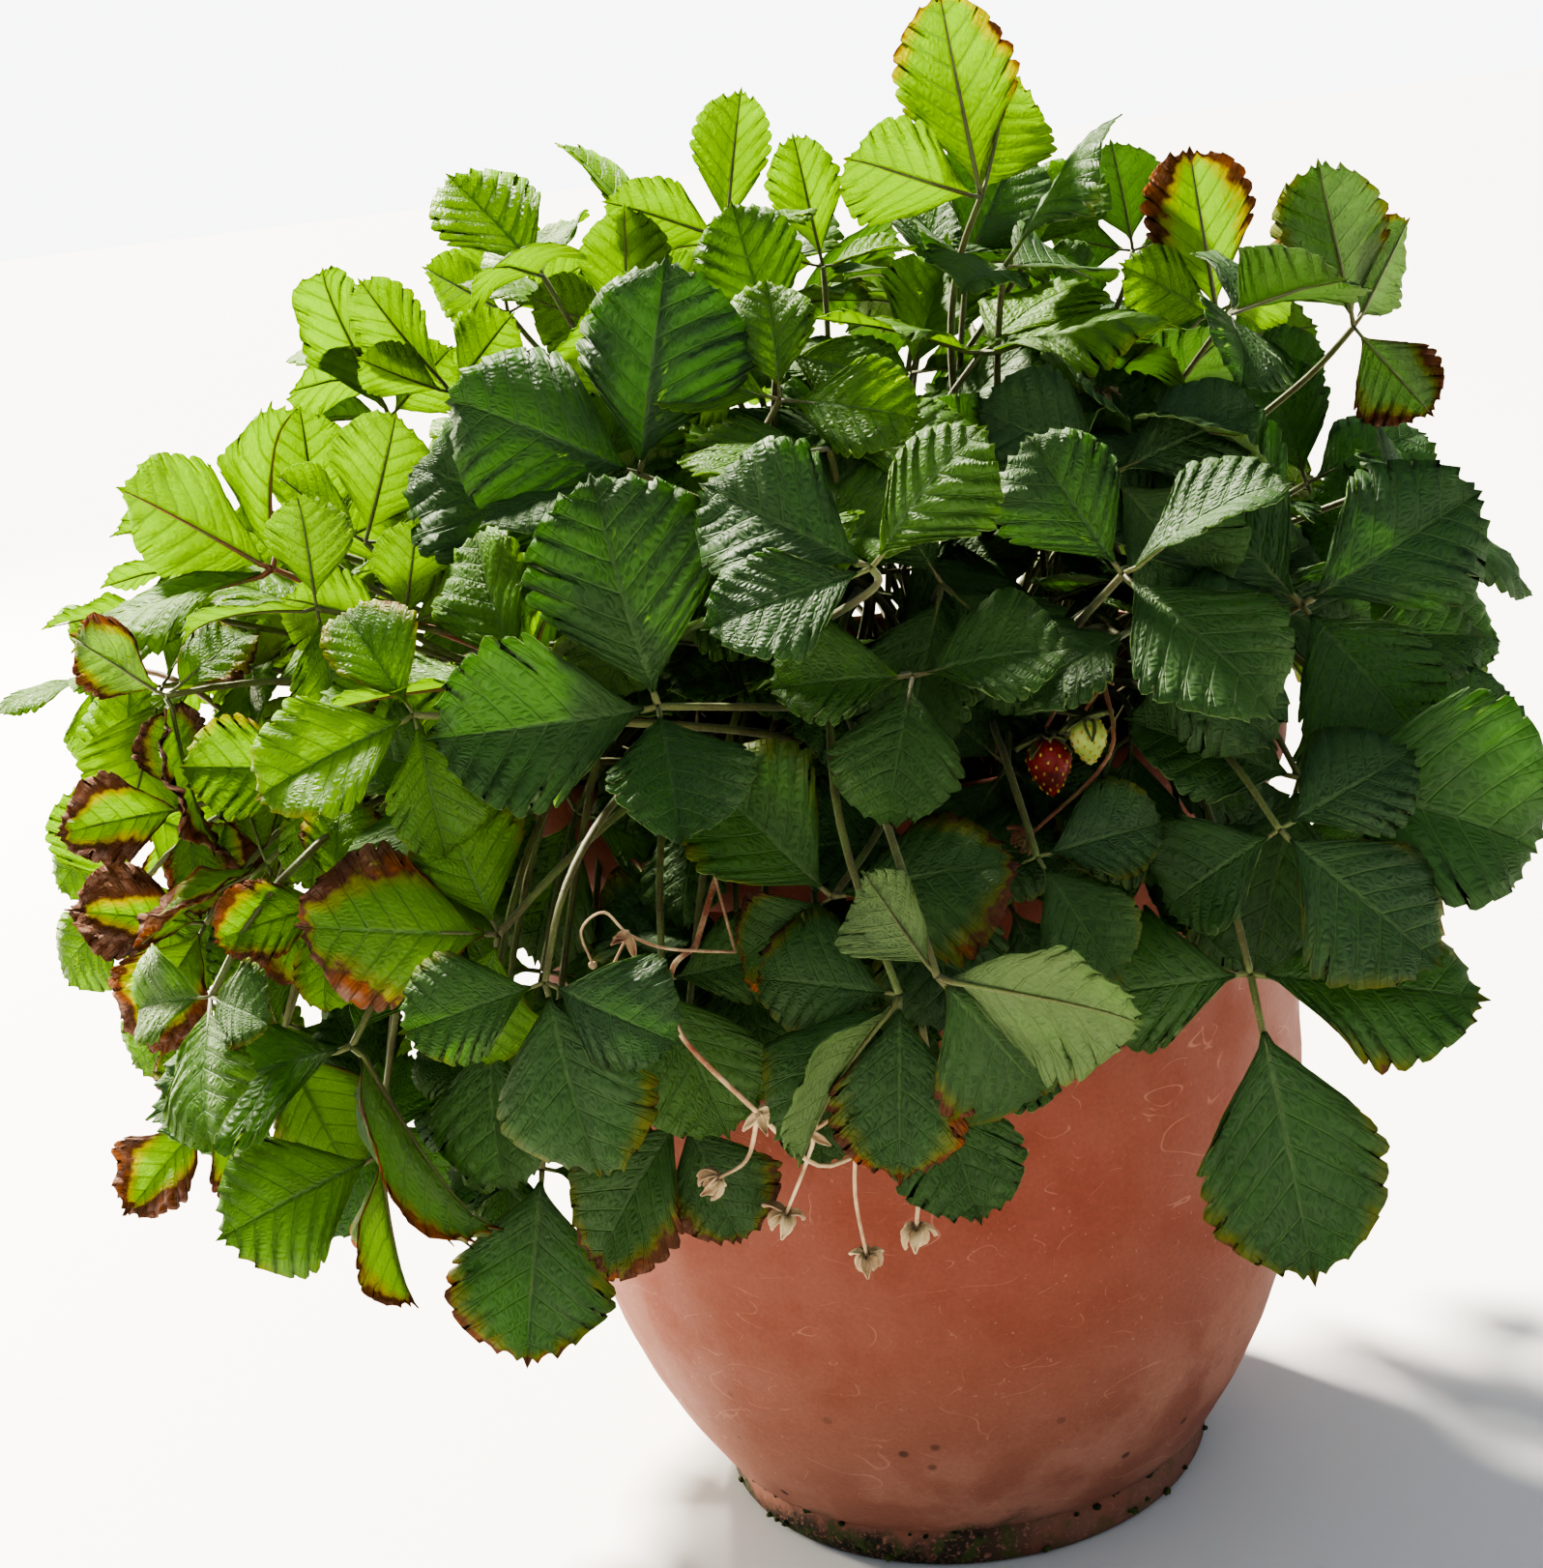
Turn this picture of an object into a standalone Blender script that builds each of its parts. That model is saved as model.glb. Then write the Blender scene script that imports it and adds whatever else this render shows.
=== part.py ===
# A strawberry plant in a round clay pot: pot, soil, crowns, leaves on their stalks,
# flower and fruit trusses, berries, and a runner with its plantlet.
# Modelled in millimetres and scaled once, at the very end of each piece, to metres.
import math

import bmesh
import bpy
from mathutils import Vector
from mathutils.bvhtree import BVHTree

MM = 0.001

# Pot, millimetres
FOOT_RADIUS = 88
FOOT_HEIGHT = 11
BELLY_RADIUS = 131
BELLY_HEIGHT = 165
NECK_RADIUS = 124.5
NECK_HEIGHT = 250
POT_HEIGHT = 285
LIP_PROUD = 7.5
WALL = 5
FLOOR = 8
POT_STEPS = 40
DRAIN_HOLES = 5
DRAIN_RADIUS = 6
DRAIN_RING = 45

# Soil and crowns
SOIL_EDGE = 250
SOIL_RISE = 5
FIT_GAP = 0.3
CROWN_RADIUS = 12
CROWN_HEIGHT = 24
CROWNS = {"crown_left": (-38, -30), "crown_right": (40, -24), "crown_back": (0, 46)}

# Leaves
BLADE_THICK = 1.2
BLADE_WIDTH = 0.8
STALK_RADIUS = 1.3
KNUCKLE = 2.6
CLEARANCE = 0.5
LEAFLET_STALK = 4
WIDEST = 0.56
FOLD = 12
DROOP = 18

FACES = {
    "front": (0, -8, 4), "back": (0, 8, 3), "up": (0, -1, 9), "left": (-9, -1, 2),
    "up_left": (-5, -2, 8), "up_right": (5, -2, 8), "back_left": (-7, 6, 2),
    "back_right": (7, 6, 2), "front_left": (-5, -7, 4), "behind": (0, 8, 4),
}

# name, hub (x, y, z), then up to three leaflets: (points towards, upper side faces, length[, stalk])
LEAVES = [
    ("leaf_front_1", (-60, -175, 330),
     ((-9, -2, 0), "front", 58), ((-2, 2, 9), "front", 62), ((1, -7, -4), "up", 44)),
    ("leaf_front_2", (-55, -140, 385),
     ((-8, -1, 5), "front", 56), ((2, 2, 9), "front", 58), ((-9, -4, 0), "up", 44)),
    ("leaf_front_3", (0, -200, 365),
     ((-7, 3, 4), "front", 50), ((6, -1, 8), "front", 42), ((-9, -3, -1), "front", 42)),
    ("leaf_front_4", (65, -170, 350),
     ((7, -1, 5), "up_right", 46), ((-4, 2, 7), "front", 42), ((5, -6, -4), "front", 54)),
    ("leaf_right_1", (120, -120, 325),
     ((9, 2, 4), "front", 62), ((-5, 3, 7), "front", 72), ((4, -5, -5), "front", 50)),
    ("leaf_right_2", (110, -150, 285),
     ((-3, -2, -8), "front", 54), ((-8, -1, 4), "front", 48), ((8, -3, -2), "front", 66)),
    ("leaf_low_1", (95, -170, 240),
     ((1, -3, -9), "front", 70, 16), ((-9, 2, -1), "front", 50), ((9, -2, -1), "front", 60)),
    ("leaf_front_5", (-100, -165, 340),
     ((-3, 4, 8), "up_left", 46), ((-9, -2, 1), "up", 56), ((4, 0, 9), "left", 52)),
    ("leaf_top_1", (40, -60, 400),
     ((6, 6, 4), "up", 50), ((-8, -3, 4), "up", 50), ((9, -2, 2), "up", 58)),
    ("leaf_top_2", (45, -50, 445),
     ((-1, 1, 9), "back", 58), ((-7, -4, 3), "back", 46), ((3, 6, 7), "back", 46)),
    ("leaf_left_1", (-185, -60, 360),
     ((-8, 3, 5), "back", 54), ((0, 2, 9), "left", 48), ((-9, -2, -1), "up", 64)),
    ("leaf_front_6", (-20, -190, 275),
     ((-6, 1, 7), "front", 48), ((9, -2, 2), "front", 48), ((-7, 2, -4), "front", 34)),
    ("leaf_low_2", (-5, -200, 260),
     ((-1, -3, -8), "front", 46), ((-8, 3, 1), "front", 42), ((-7, -3, -6), "left", 48)),
    ("leaf_low_3", (-95, -200, 270),
     ((1, -3, -8), "front", 50), ((-8, -3, -1), "front", 36), ((7, -4, -3), "front", 36)),
    ("leaf_low_4", (-160, -165, 240),
     ((-9, -3, 0), "front_left", 56), ((4, -3, -8), "left", 64), ((3, 3, 6), "front", 34)),
    ("leaf_left_2", (-110, -185, 275),
     ((-9, -2, 2), "front_left", 52), ((-3, 2, 9), "front", 40), ((-4, 0, -9), "front", 40)),
    ("leaf_low_5", (-115, -150, 190),
     ((-2, -3, -9), "front", 56), ((7, 2, -3), "front", 40), ((-8, 3, -1), "front", 36)),
    ("leaf_low_6", (-165, -140, 195),
     ((-8, -3, -2), "front", 50), ((0, -2, -9), "left", 44), ((2, 5, 7), "front", 30)),
    ("leaf_low_7", (5, -225, 265),
     ((9, -2, -2), "back", 50), ((5, 2, -8), "front", 50), ((-4, 5, 6), "back", 30)),
    ("leaf_top_3", (-70, -10, 412),
     ((1, -1, 9), "back", 40), ((-8, 3, 5), "back", 34), ((8, 3, 3), "back", 30)),
    ("leaf_top_4", (-35, 0, 440),
     ((2, -1, 9), "back", 44), ((-8, -2, 4), "back", 38), ((7, 5, 2), "up", 34)),
    ("leaf_top_5", (-5, 40, 425),
     ((-1, -1, 9), "back", 42), ((-8, 3, 3), "back", 30), ((8, 3, 2), "up", 32)),
    ("leaf_top_6", (-120, 80, 420),
     ((0, -1, 9), "back", 42), ((-8, 4, 5), "back", 36), ((8, 3, 4), "back", 34)),
    ("leaf_top_7", (-20, -90, 410),
     ((-2, 0, 9), "front", 42), ((8, -3, -2), "front", 38), ((-7, 2, -1), "front", 36)),
    ("leaf_left_3", (-165, 60, 390),
     ((-3, -1, 9), "back_left", 58), ((-8, 2, 1), "up", 36), ((5, 6, 5), "back", 36)),
    ("leaf_left_4", (-135, 20, 400),
     ((-5, -2, 8), "back_left", 46), ((-7, -5, 4), "back", 32), ((5, 5, 5), "back", 34)),
    ("leaf_left_5", (-155, -60, 365),
     ((4, -2, 8), "back", 42), ((-6, 3, 5), "back", 34), ((8, 2, -1), "front", 34)),
    ("leaf_front_7", (-75, -110, 365),
     ((-8, 0, 5), "front", 56), ((-7, -3, -3), "front", 44), ((3, 2, 8), "front", 44)),
    ("leaf_left_6", (-125, -150, 335),
     ((-8, -4, -2), "front", 44), ((-4, 3, 7), "front", 34), ((1, -3, -8), "front", 36)),
    ("leaf_left_7", (-165, -120, 310),
     ((-8, -4, 2), "front", 38), ((2, 0, 9), "front", 32), ((-2, -3, -8), "front", 34)),
    ("leaf_left_8", (-190, -110, 280),
     ((-8, -4, -2), "up_left", 42), ((-2, 3, 8), "back", 32), ((2, -3, -8), "front", 36)),
    ("leaf_left_9", (-215, -100, 260),
     ((-8, -3, 3), "front", 38), ((-5, -4, -6), "front", 40), ((2, 3, 8), "front", 30)),
    ("leaf_low_8", (-70, -165, 210),
     ((-6, -2, -7), "front", 50), ((3, -3, -9), "front", 40), ((-7, 3, 2), "front", 36)),
    ("leaf_right_3", (145, -60, 300),
     ((9, 1, -1), "front", 44), ((2, 2, 8), "front", 36), ((1, -2, -9), "front", 36)),
    ("leaf_right_4", (155, -80, 255),
     ((7, -1, -7), "front", 46), ((8, 2, 5), "front", 46), ((-6, -2, -6), "front", 34)),
    ("leaf_right_5", (130, 60, 390),
     ((-1, -1, 9), "back", 58), ((-7, -3, 5), "front", 38), ((7, 4, 3), "back", 36)),
    ("leaf_right_6", (160, -20, 390),
     ((-1, 2, 9), "back", 50), ((5, 5, 6), "back", 42), ((5, -2, -7), "back", 34)),
    ("leaf_front_8", (35, -190, 280),
     ((4, -3, -7), "front", 36), ((9, 2, 1), "front", 34), ((-6, 2, -2), "front", 30)),
    ("leaf_back_1", (140, 125, 375),
     ((5, 5, -6), (6, 6, 3), 54), ((6, -6, 1), (6, 6, 3), 46), ((-6, 6, 2), (6, 6, 3), 46)),
    ("leaf_back_2", (50, 185, 390),
     ((1, 5, -7), "behind", 56), ((8, 0, 1), "behind", 48), ((-8, 1, 1), "behind", 48)),
    ("leaf_back_3", (-70, 190, 385),
     ((-2, 2, 8), "behind", 56), ((8, 1, -2), "behind", 48), ((-8, 1, 0), "behind", 48)),
    ("leaf_back_4", (-175, 140, 355),
     ((-5, 4, -6), (-6, 6, 4), 54), ((-5, -5, 3), (-6, 6, 4), 46), ((6, 6, 3), (-6, 6, 4), 46)),
    ("leaf_back_5", (190, 70, 290),
     ((5, 3, -8), (8, 4, 3), 56), ((2, -8, 1), (8, 4, 3), 46), ((-3, 8, 1), (8, 4, 3), 46)),
    ("leaf_back_6", (90, 205, 290),
     ((2, 4, -8), "behind", 58), ((8, -2, 1), "behind", 48), ((-8, 3, 1), "behind", 48)),
    ("leaf_back_7", (-60, 215, 285),
     ((-1, 4, -8), "behind", 58), ((8, 1, 0), "behind", 48), ((-8, 0, 1), "behind", 48)),
    ("leaf_back_8", (-190, 140, 270),
     ((-4, 3, -8), (-6, 6, 3), 56), ((-6, -6, 1), (-6, 6, 3), 46), ((6, 6, 1), (-6, 6, 3), 46)),
]


def unit(v):
    return Vector(v).normalized()


# ---------------------------------------------------------------- leaves as points

def outline(u):
    """Half width of a leaflet at u along its midrib, 0 at the stalk and 1 at the tip."""
    if u < WIDEST:
        return math.sin(math.pi / 2 * u / WIDEST) ** 1.15
    return math.sqrt(max(0.0, 1 - ((u - WIDEST) / (1 - WIDEST)) ** 2.2))


def leaflet_grid(hub, points, faces, length, stalk=LEAFLET_STALK):
    """Rows of three points (left edge, midrib, right edge) from the hub to the tip."""
    ahead = unit(points)
    up = Vector(FACES[faces] if isinstance(faces, str) else faces)
    up = (up - ahead * up.dot(ahead)).normalized()
    side = up.cross(ahead)
    droop = 0 if faces == "back" else DROOP
    rows = [0.3, 0.62, 0.86, 1] if length > 55 else [0.36, 0.72, 1] if length > 34 else [0.5, 1]
    neck = BLADE_THICK
    grid = []
    for reach in (0.2, stalk) if stalk > LEAFLET_STALK else (0.2,):
        spot = hub + ahead * reach
        grid.append([spot - side * neck, spot, spot + side * neck])
    spot = hub + ahead * stalk
    last = 0
    for u in rows:
        bend = -math.radians(droop) * ((u + last) / 2) ** 1.3
        way = ahead * math.cos(bend) + up * math.sin(bend)
        over = up * math.cos(bend) - ahead * math.sin(bend)
        spot = spot + way * length * (u - last)
        half = length * BLADE_WIDTH / 2 * (outline(u) if u < 1 else 0.15)
        across = side * half * math.cos(math.radians(FOLD))
        rise = over * half * math.sin(math.radians(FOLD))
        grid.append([spot - across + rise, spot, spot + across + rise])
        last = u
    return grid


def bezier(p0, p1, p2, p3, steps):
    curve = []
    for i in range(steps + 1):
        t = i / steps
        k = 1 - t
        curve.append(p0 * k ** 3 + p1 * 3 * k * k * t + p2 * 3 * k * t * t + p3 * t ** 3)
    return curve


# Flower and fruit stalks: the part in sight, its side branches, dried calyces and thickness.
# The first point of each is where the stalk comes out from among the leaves.
TRUSSES = [
    ("dried_truss", 1.2,
     [(-59, -175, 262), (-64, -192, 263), (-65, -196, 254), (-63, -194, 242), (-47, -188, 217),
      (-33, -180, 196), (-16, -176, 197), (-7, -174, 184), (-8, -172, 170)],
     [[(-47, -188, 217), (-34, -184, 208), (-36, -181, 198), (-44, -178, 181)],
      [(-47, -188, 217), (-52, -184, 202), (-61, -184, 197)],
      [(-34, -184, 208), (-22, -179, 210), (-24, -176, 184), (-23, -172, 163)]],
     [(-8, -172, 170), (-44, -178, 181), (-61, -184, 197), (-24, -176, 184), (-23, -172, 163)]),
    ("dried_stalks", 1.0,
     [(-48, -180, 261), (-65, -191, 268), (-74, -196, 275), (-79, -200, 283), (-85, -204, 280),
      (-83, -206, 271)],
     [[(-74, -196, 275), (-80, -202, 265), (-79, -204, 253)]],
     [(-83, -206, 271), (-79, -204, 253)]),
    ("arched_stalk", 1.0,
     [(42, -60, 375), (53, -70, 391), (60, -75, 395), (68, -80, 393), (72, -84, 386)],
     [],
     [(72, -84, 386)]),
    ("top_stalk", 1.0,
     [(-2, -90, 378), (5, -95, 392), (12, -98, 395), (19, -100, 386)],
     [],
     [(19, -100, 386)]),
    ("right_stalk", 1.0, [(121, 40, 392), (139, 30, 399), (153, 20, 400)], [], []),
    ("fruit_truss", 1.2,
     [(58, -132, 322), (60, -146, 317), (54, -152, 310)],
     [[(58, -132, 322), (50, -140, 314), (43, -148, 305)],
      [(60, -146, 317), (58, -165, 300), (34, -161, 278)]],
     [(34, -161, 278)]),
]
BERRIES = {"berry_green": ((54, -152, 301), 6, 14), "berry_red": ((43, -148, 294), 7.5, 18)}

# The runner ends in a plantlet of three small leaflets.
RUNNER = ("runner", [(-214, -30, 306), (-230, -20, 318), (-251, -4, 323), (-270, 0, 320)])
PLANTLET = [((-9, -3, 0), "up", 30), ((0, -4, -8), "front", 30), ((1, 3, 8), "back", 24)]


# ---------------------------------------------------------------- finding free space

class Room:
    """The space taken so far, as padded surfaces that a new piece may not cross."""

    def __init__(self):
        self.taken = []

    @staticmethod
    def shell(verts, polygons):
        tree = BVHTree.FromPolygons(verts, polygons)
        low = [min(v[k] for v in verts) for k in range(3)]
        high = [max(v[k] for v in verts) for k in range(3)]
        return tree, low, high

    def free(self, shells, skip=None):
        for tree, low, high in shells:
            for owner, other, other_low, other_high in self.taken:
                if owner == skip:
                    continue
                if any(low[k] > other_high[k] or high[k] < other_low[k] for k in range(3)):
                    continue
                if tree.overlap(other):
                    return False
        return True

    def take(self, owner, shells):
        self.taken.extend((owner, *shell) for shell in shells)


def padded_sheet(grid):
    """A closed slab round a leaflet's rows, thicker than the leaflet by the clearance."""
    half = BLADE_THICK / 2 + CLEARANCE
    verts = []
    for sign in (half, -half):
        for i, row in enumerate(grid):
            near = grid[min(i + 1, len(grid) - 1)][1] - grid[max(i - 1, 0)][1]
            over = (row[2] - row[0]).cross(near).normalized()
            edge = (row[2] - row[0]).normalized() * CLEARANCE
            verts += [row[0] - edge + over * sign, row[1] + over * sign, row[2] + edge + over * sign]
    n = len(grid)
    polygons = []
    for i in range(n - 1):
        for j in range(2):
            a = i * 3 + j
            polygons.append((a, a + 1, a + 4, a + 3))
            polygons.append((a + 3 * n, a + 3 + 3 * n, a + 4 + 3 * n, a + 1 + 3 * n))
        for j in (0, 2):
            a = i * 3 + j
            polygons.append((a, a + 3, a + 3 + 3 * n, a + 3 * n))
    return Room.shell([tuple(v) for v in verts], polygons)


def padded_tube(path, radius):
    """A closed square tube round a path."""
    verts = []
    for i, spot in enumerate(path):
        way = (path[min(i + 1, len(path) - 1)] - path[max(i - 1, 0)]).normalized()
        side = way.orthogonal().normalized()
        over = way.cross(side)
        verts += [spot + (side * c + over * s) * radius for c, s in ((1, 1), (-1, 1), (-1, -1), (1, -1))]
    polygons = [(0, 1, 2, 3), tuple(len(verts) - k for k in (1, 2, 3, 4))]
    for i in range(len(path) - 1):
        for j in range(4):
            a, b = i * 4 + j, i * 4 + (j + 1) % 4
            polygons.append((a, b, b + 4, a + 4))
    return Room.shell([tuple(v) for v in verts], polygons)


def padded_lathe(profile, centre=(0, 0), steps=24):
    """A turned surface, as an obstacle."""
    verts = []
    for r, z in profile:
        for k in range(steps):
            turn = math.tau * k / steps
            verts.append((centre[0] + r * math.cos(turn), centre[1] + r * math.sin(turn), z))
    polygons = []
    for i in range(len(profile) - 1):
        for k in range(steps):
            n = (k + 1) % steps
            polygons.append((i * steps + k, i * steps + n, (i + 1) * steps + n, (i + 1) * steps + k))
    return Room.shell(verts, polygons)


def shifts():
    """Small moves, nearest first; moving in or out of the canopy counts less than sideways."""
    reach = range(-4, 5)
    moves = [Vector((x, y, z)) * 6 for x in reach for y in reach for z in reach]
    return sorted(moves, key=lambda m: (m.x ** 2 + m.z ** 2 + (m.y / 1.6) ** 2, m.x, m.y, m.z))


def take_trusses(room):
    """The parts in sight of the flower stalks, the berries and the runner hold their places."""
    for name, thick, path, branches, calyces in TRUSSES:
        for line in [path] + branches:
            room.take(name, [padded_tube([Vector(p) for p in line], thick + CLEARANCE)])
        for spot in calyces:
            profile = [(r + CLEARANCE, z + spot[2]) for r, z in calyx_profile()]
            room.take(name, [padded_lathe(profile, spot, 8)])
    for name, (spot, wide, tall) in BERRIES.items():
        profile = [(r + CLEARANCE, z + spot[2]) for r, z in berry_profile(wide, tall)]
        room.take(name, [padded_lathe(profile, spot, 8)])
    name, path = RUNNER
    room.take(name, [padded_tube([Vector(p) for p in path], STALK_RADIUS + CLEARANCE)])
    room.take(name, [padded_sheet(leaflet_grid(Vector(path[-1]), *leaflet)) for leaflet in PLANTLET])


def arrival(base, end, ahead):
    """The direction in which a stalk comes up to its leaf."""
    return (unit(ahead) * 0.5 + (end - base).normalized()).normalized()


def seat_blades(room):
    """Move each leaf as little as needed to keep its leaflets clear of the rest."""
    hubs = {}
    moves = shifts()
    for name, hub, *leaflets in LEAVES:
        for move in moves:
            spot = Vector(hub) + move
            way = arrival(Vector((spot.x * 0.2, spot.y * 0.2, SOIL_EDGE)), spot, leaflets[0][0])
            shells = [padded_sheet(leaflet_grid(spot, *leaflet)) for leaflet in leaflets]
            shells.append(padded_tube([spot - way * 16, spot], KNUCKLE * 0.75 + CLEARANCE))
            if room.free(shells):
                hubs[name] = spot
                room.take(name, shells)
                break
        else:
            print("no room for the blades of", name)
            hubs[name] = Vector(hub)
    return hubs


def stalk_bases(ends):
    """Stalks rise in two rings round the nearest crown, in the order of their directions."""
    groups = {name: [] for name in CROWNS}
    for name, end in ends.items():
        nearest = min(CROWNS, key=lambda c: math.hypot(end.x - 2 * CROWNS[c][0], end.y - 2 * CROWNS[c][1]))
        groups[nearest].append((math.atan2(end.y - CROWNS[nearest][1], end.x - CROWNS[nearest][0]), name))
    bases = {}
    for crown, members in groups.items():
        for i, (_, name) in enumerate(sorted(members)):
            turn = math.tau * i / len(members) - math.pi + 0.2
            bases[name] = crown_spot(crown, turn, 2 + (i % 2) * 5)
    return bases


def crown_spot(crown, turn, gap):
    """A place on the soil beside a crown."""
    spread = CROWN_RADIUS + STALK_RADIUS + gap
    x = CROWNS[crown][0] + spread * math.cos(turn)
    y = CROWNS[crown][1] + spread * math.sin(turn)
    return Vector((x, y, soil_top(math.hypot(x, y)) + 2))


def stalk_routes(base, end, ahead):
    """Arching routes from a crown to a leaf's hub, the plainest first."""
    out = Vector((end.x - base.x, end.y - base.y, 0))
    far = out.length
    out = out / max(far, 1)
    side = Vector((-out.y, out.x, 0))
    arrive = arrival(base, end, ahead)
    over = max(0.0, POT_HEIGHT + 25 - end.z) if math.hypot(end.x, end.y) > NECK_RADIUS - 15 else 0.0
    for lift in (0, 20, 45, -20, 70, 95):
        for swing in (0, 14, -14, 30, -30, 48, -48, 70, -70):
            for back in (34, 55, 16, 80):
                for lean in (1, 0.2, -0.6):
                    rise = 0.55 * (end.z - base.z) + 1.5 * over + lift
                    p1 = base + Vector((0, 0, max(rise, 25))) + out * 0.12 * far + side * swing
                    p2 = end - arrive * back + Vector((0, 0, 1.1 * over + 0.5 * lift)) + side * swing * lean
                    yield bezier(base, p1, p2, end, 7)


def route_stalks(room, hubs):
    """A way for every stalk from its crown to its leaf or truss, clear of all the rest."""
    ends = {}
    heads = {name: leaflets[0][0] for name, _, *leaflets in LEAVES}
    for name, path in [(truss[0], truss[2]) for truss in TRUSSES] + [RUNNER]:
        ends[name] = Vector(path[0])
        heads[name] = Vector(path[1]) - Vector(path[0])
    ends.update(sorted(hubs.items(), key=lambda item: item[1].z))
    bases = stalk_bases(ends)
    spares = [crown_spot(crown, math.tau * i / 12, 12) for crown in CROWNS for i in range(12)]
    paths = {}
    for name, end in ends.items():
        starts = [bases[name]] + sorted(spares, key=lambda spot: (spot - bases[name]).length)[:10]
        paths[name] = first_free(room, name, (
            path for start in starts for path in stalk_routes(start, end, heads[name])))
    return paths


def first_free(room, name, choices):
    for path in choices:
        shell = padded_tube(path, STALK_RADIUS + CLEARANCE)
        if room.free([shell], skip=name):
            room.take(name, [shell])
            return path
    print("no way through for the stalk of", name)
    return []


# ---------------------------------------------------------------- pot and soil

def pot_radius(z):
    """Outer radius of the pot's wall between its foot and its neck."""
    if z < BELLY_HEIGHT:
        fall = (BELLY_HEIGHT - z) / (BELLY_HEIGHT - 14)
        return BELLY_RADIUS - 41 * fall ** 2.6
    rise = (z - BELLY_HEIGHT) / (NECK_HEIGHT - BELLY_HEIGHT)
    return BELLY_RADIUS - (BELLY_RADIUS - NECK_RADIUS) * rise ** 2


WALL_HEIGHTS = (25, 38, 55, 80, 115, 165, 210, NECK_HEIGHT)


def soil_top(radius):
    return SOIL_EDGE + SOIL_RISE * (1 - (radius / NECK_RADIUS) ** 2)


def pot_profile():
    """From the middle of the floor, up the inside, over the lip and down to the foot."""
    inside = [(0, FLOOR), (pot_radius(17) - 10, FLOOR), (pot_radius(20) - WALL, FLOOR + 8)]
    inside += [(pot_radius(z) - WALL, z) for z in WALL_HEIGHTS]
    lip = []
    middle = (NECK_HEIGHT + POT_HEIGHT) / 2
    for i in range(7):
        turn = math.radians(110 - 200 * i / 6)
        lip.append((NECK_RADIUS + 1 + LIP_PROUD * math.cos(turn),
                    middle + (POT_HEIGHT - middle) * math.sin(turn)))
    outside = [(pot_radius(z), z) for z in reversed(WALL_HEIGHTS)]
    foot = [(pot_radius(17), 17), (FOOT_RADIUS - 0.5, FOOT_HEIGHT + 2.5), (FOOT_RADIUS, FOOT_HEIGHT),
            (FOOT_RADIUS, 2), (FOOT_RADIUS - 2, 0), (0, 0)]
    return inside + lip + outside + foot


def soil_profile():
    top = [(r, soil_top(r)) for r in (0, 60, 100)]
    edge = pot_radius(SOIL_EDGE) - WALL - FIT_GAP
    wall = [(edge, soil_top(edge))]
    wall += [(pot_radius(z) - WALL - FIT_GAP, z) for z in reversed(WALL_HEIGHTS) if z < SOIL_EDGE]
    low = [(pot_radius(20) - WALL - FIT_GAP, FLOOR + 8), (pot_radius(17) - 10 - FIT_GAP, FLOOR + FIT_GAP)]
    return top + wall + low + [(0, FLOOR + FIT_GAP)]


# ---------------------------------------------------------------- Blender objects

def clear_scene():
    for old in list(bpy.data.objects):
        bpy.data.objects.remove(old, do_unlink=True)


def material(name, colour, roughness):
    mat = bpy.data.materials.new(name)
    mat.use_nodes = True
    shader = mat.node_tree.nodes["Principled BSDF"]
    shader.inputs["Base Color"].default_value = (*colour, 1)
    shader.inputs["Roughness"].default_value = roughness
    shader.inputs["Metallic"].default_value = 0
    mat.diffuse_color = (*colour, 1)
    return mat


def link(obj, mat, home):
    home.objects.link(obj)
    obj.data.materials.clear()
    obj.data.materials.append(mat)
    return obj


def baked(obj, merge=0.00002):
    """The object's shape with its modifiers, as a mesh with no loose doubles."""
    bpy.context.view_layer.update()
    mesh = bpy.data.meshes.new_from_object(obj.evaluated_get(bpy.context.evaluated_depsgraph_get()))
    mesh.transform(obj.matrix_world)
    bm = bmesh.new()
    bm.from_mesh(mesh)
    bmesh.ops.remove_doubles(bm, verts=bm.verts, dist=merge)
    bm.to_mesh(mesh)
    bm.free()
    return mesh


def scrap(obj):
    data = obj.data
    bpy.data.objects.remove(obj)
    (bpy.data.meshes if isinstance(data, bpy.types.Mesh) else bpy.data.curves).remove(data)


def turned(name, profile, steps, mat, home, centre=(0, 0), height=0):
    """A profile of (radius, height) turned about the vertical through centre."""
    mesh = bpy.data.meshes.new(name)
    spots = [(r * MM, 0, z * MM) for r, z in profile]
    mesh.from_pydata(spots, [(i, i + 1) for i in range(len(spots) - 1)], [])
    obj = link(bpy.data.objects.new(name, mesh), mat, home)
    screw = obj.modifiers.new("turn", "SCREW")
    screw.steps = steps
    screw.render_steps = steps
    screw.use_merge_vertices = True
    screw.merge_threshold = 0.00005
    screw.use_smooth_shade = True
    obj.location = (centre[0] * MM, centre[1] * MM, height * MM)
    return obj


def tube(name, path, radius, mat, home, sides=0):
    """A stalk along a path of points, as a closed mesh."""
    curve = bpy.data.curves.new(name, "CURVE")
    curve.dimensions = "3D"
    curve.bevel_depth = radius * MM
    curve.bevel_resolution = sides
    curve.use_fill_caps = True
    spline = curve.splines.new("POLY")
    spline.points.add(len(path) - 1)
    for point, spot in zip(spline.points, path):
        point.co = (*(Vector(spot) * MM), 1)
    line = bpy.data.objects.new(name + "_line", curve)
    home.objects.link(line)
    mesh = baked(line)
    scrap(line)
    mesh.name = name
    return link(bpy.data.objects.new(name, mesh), mat, home)


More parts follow.
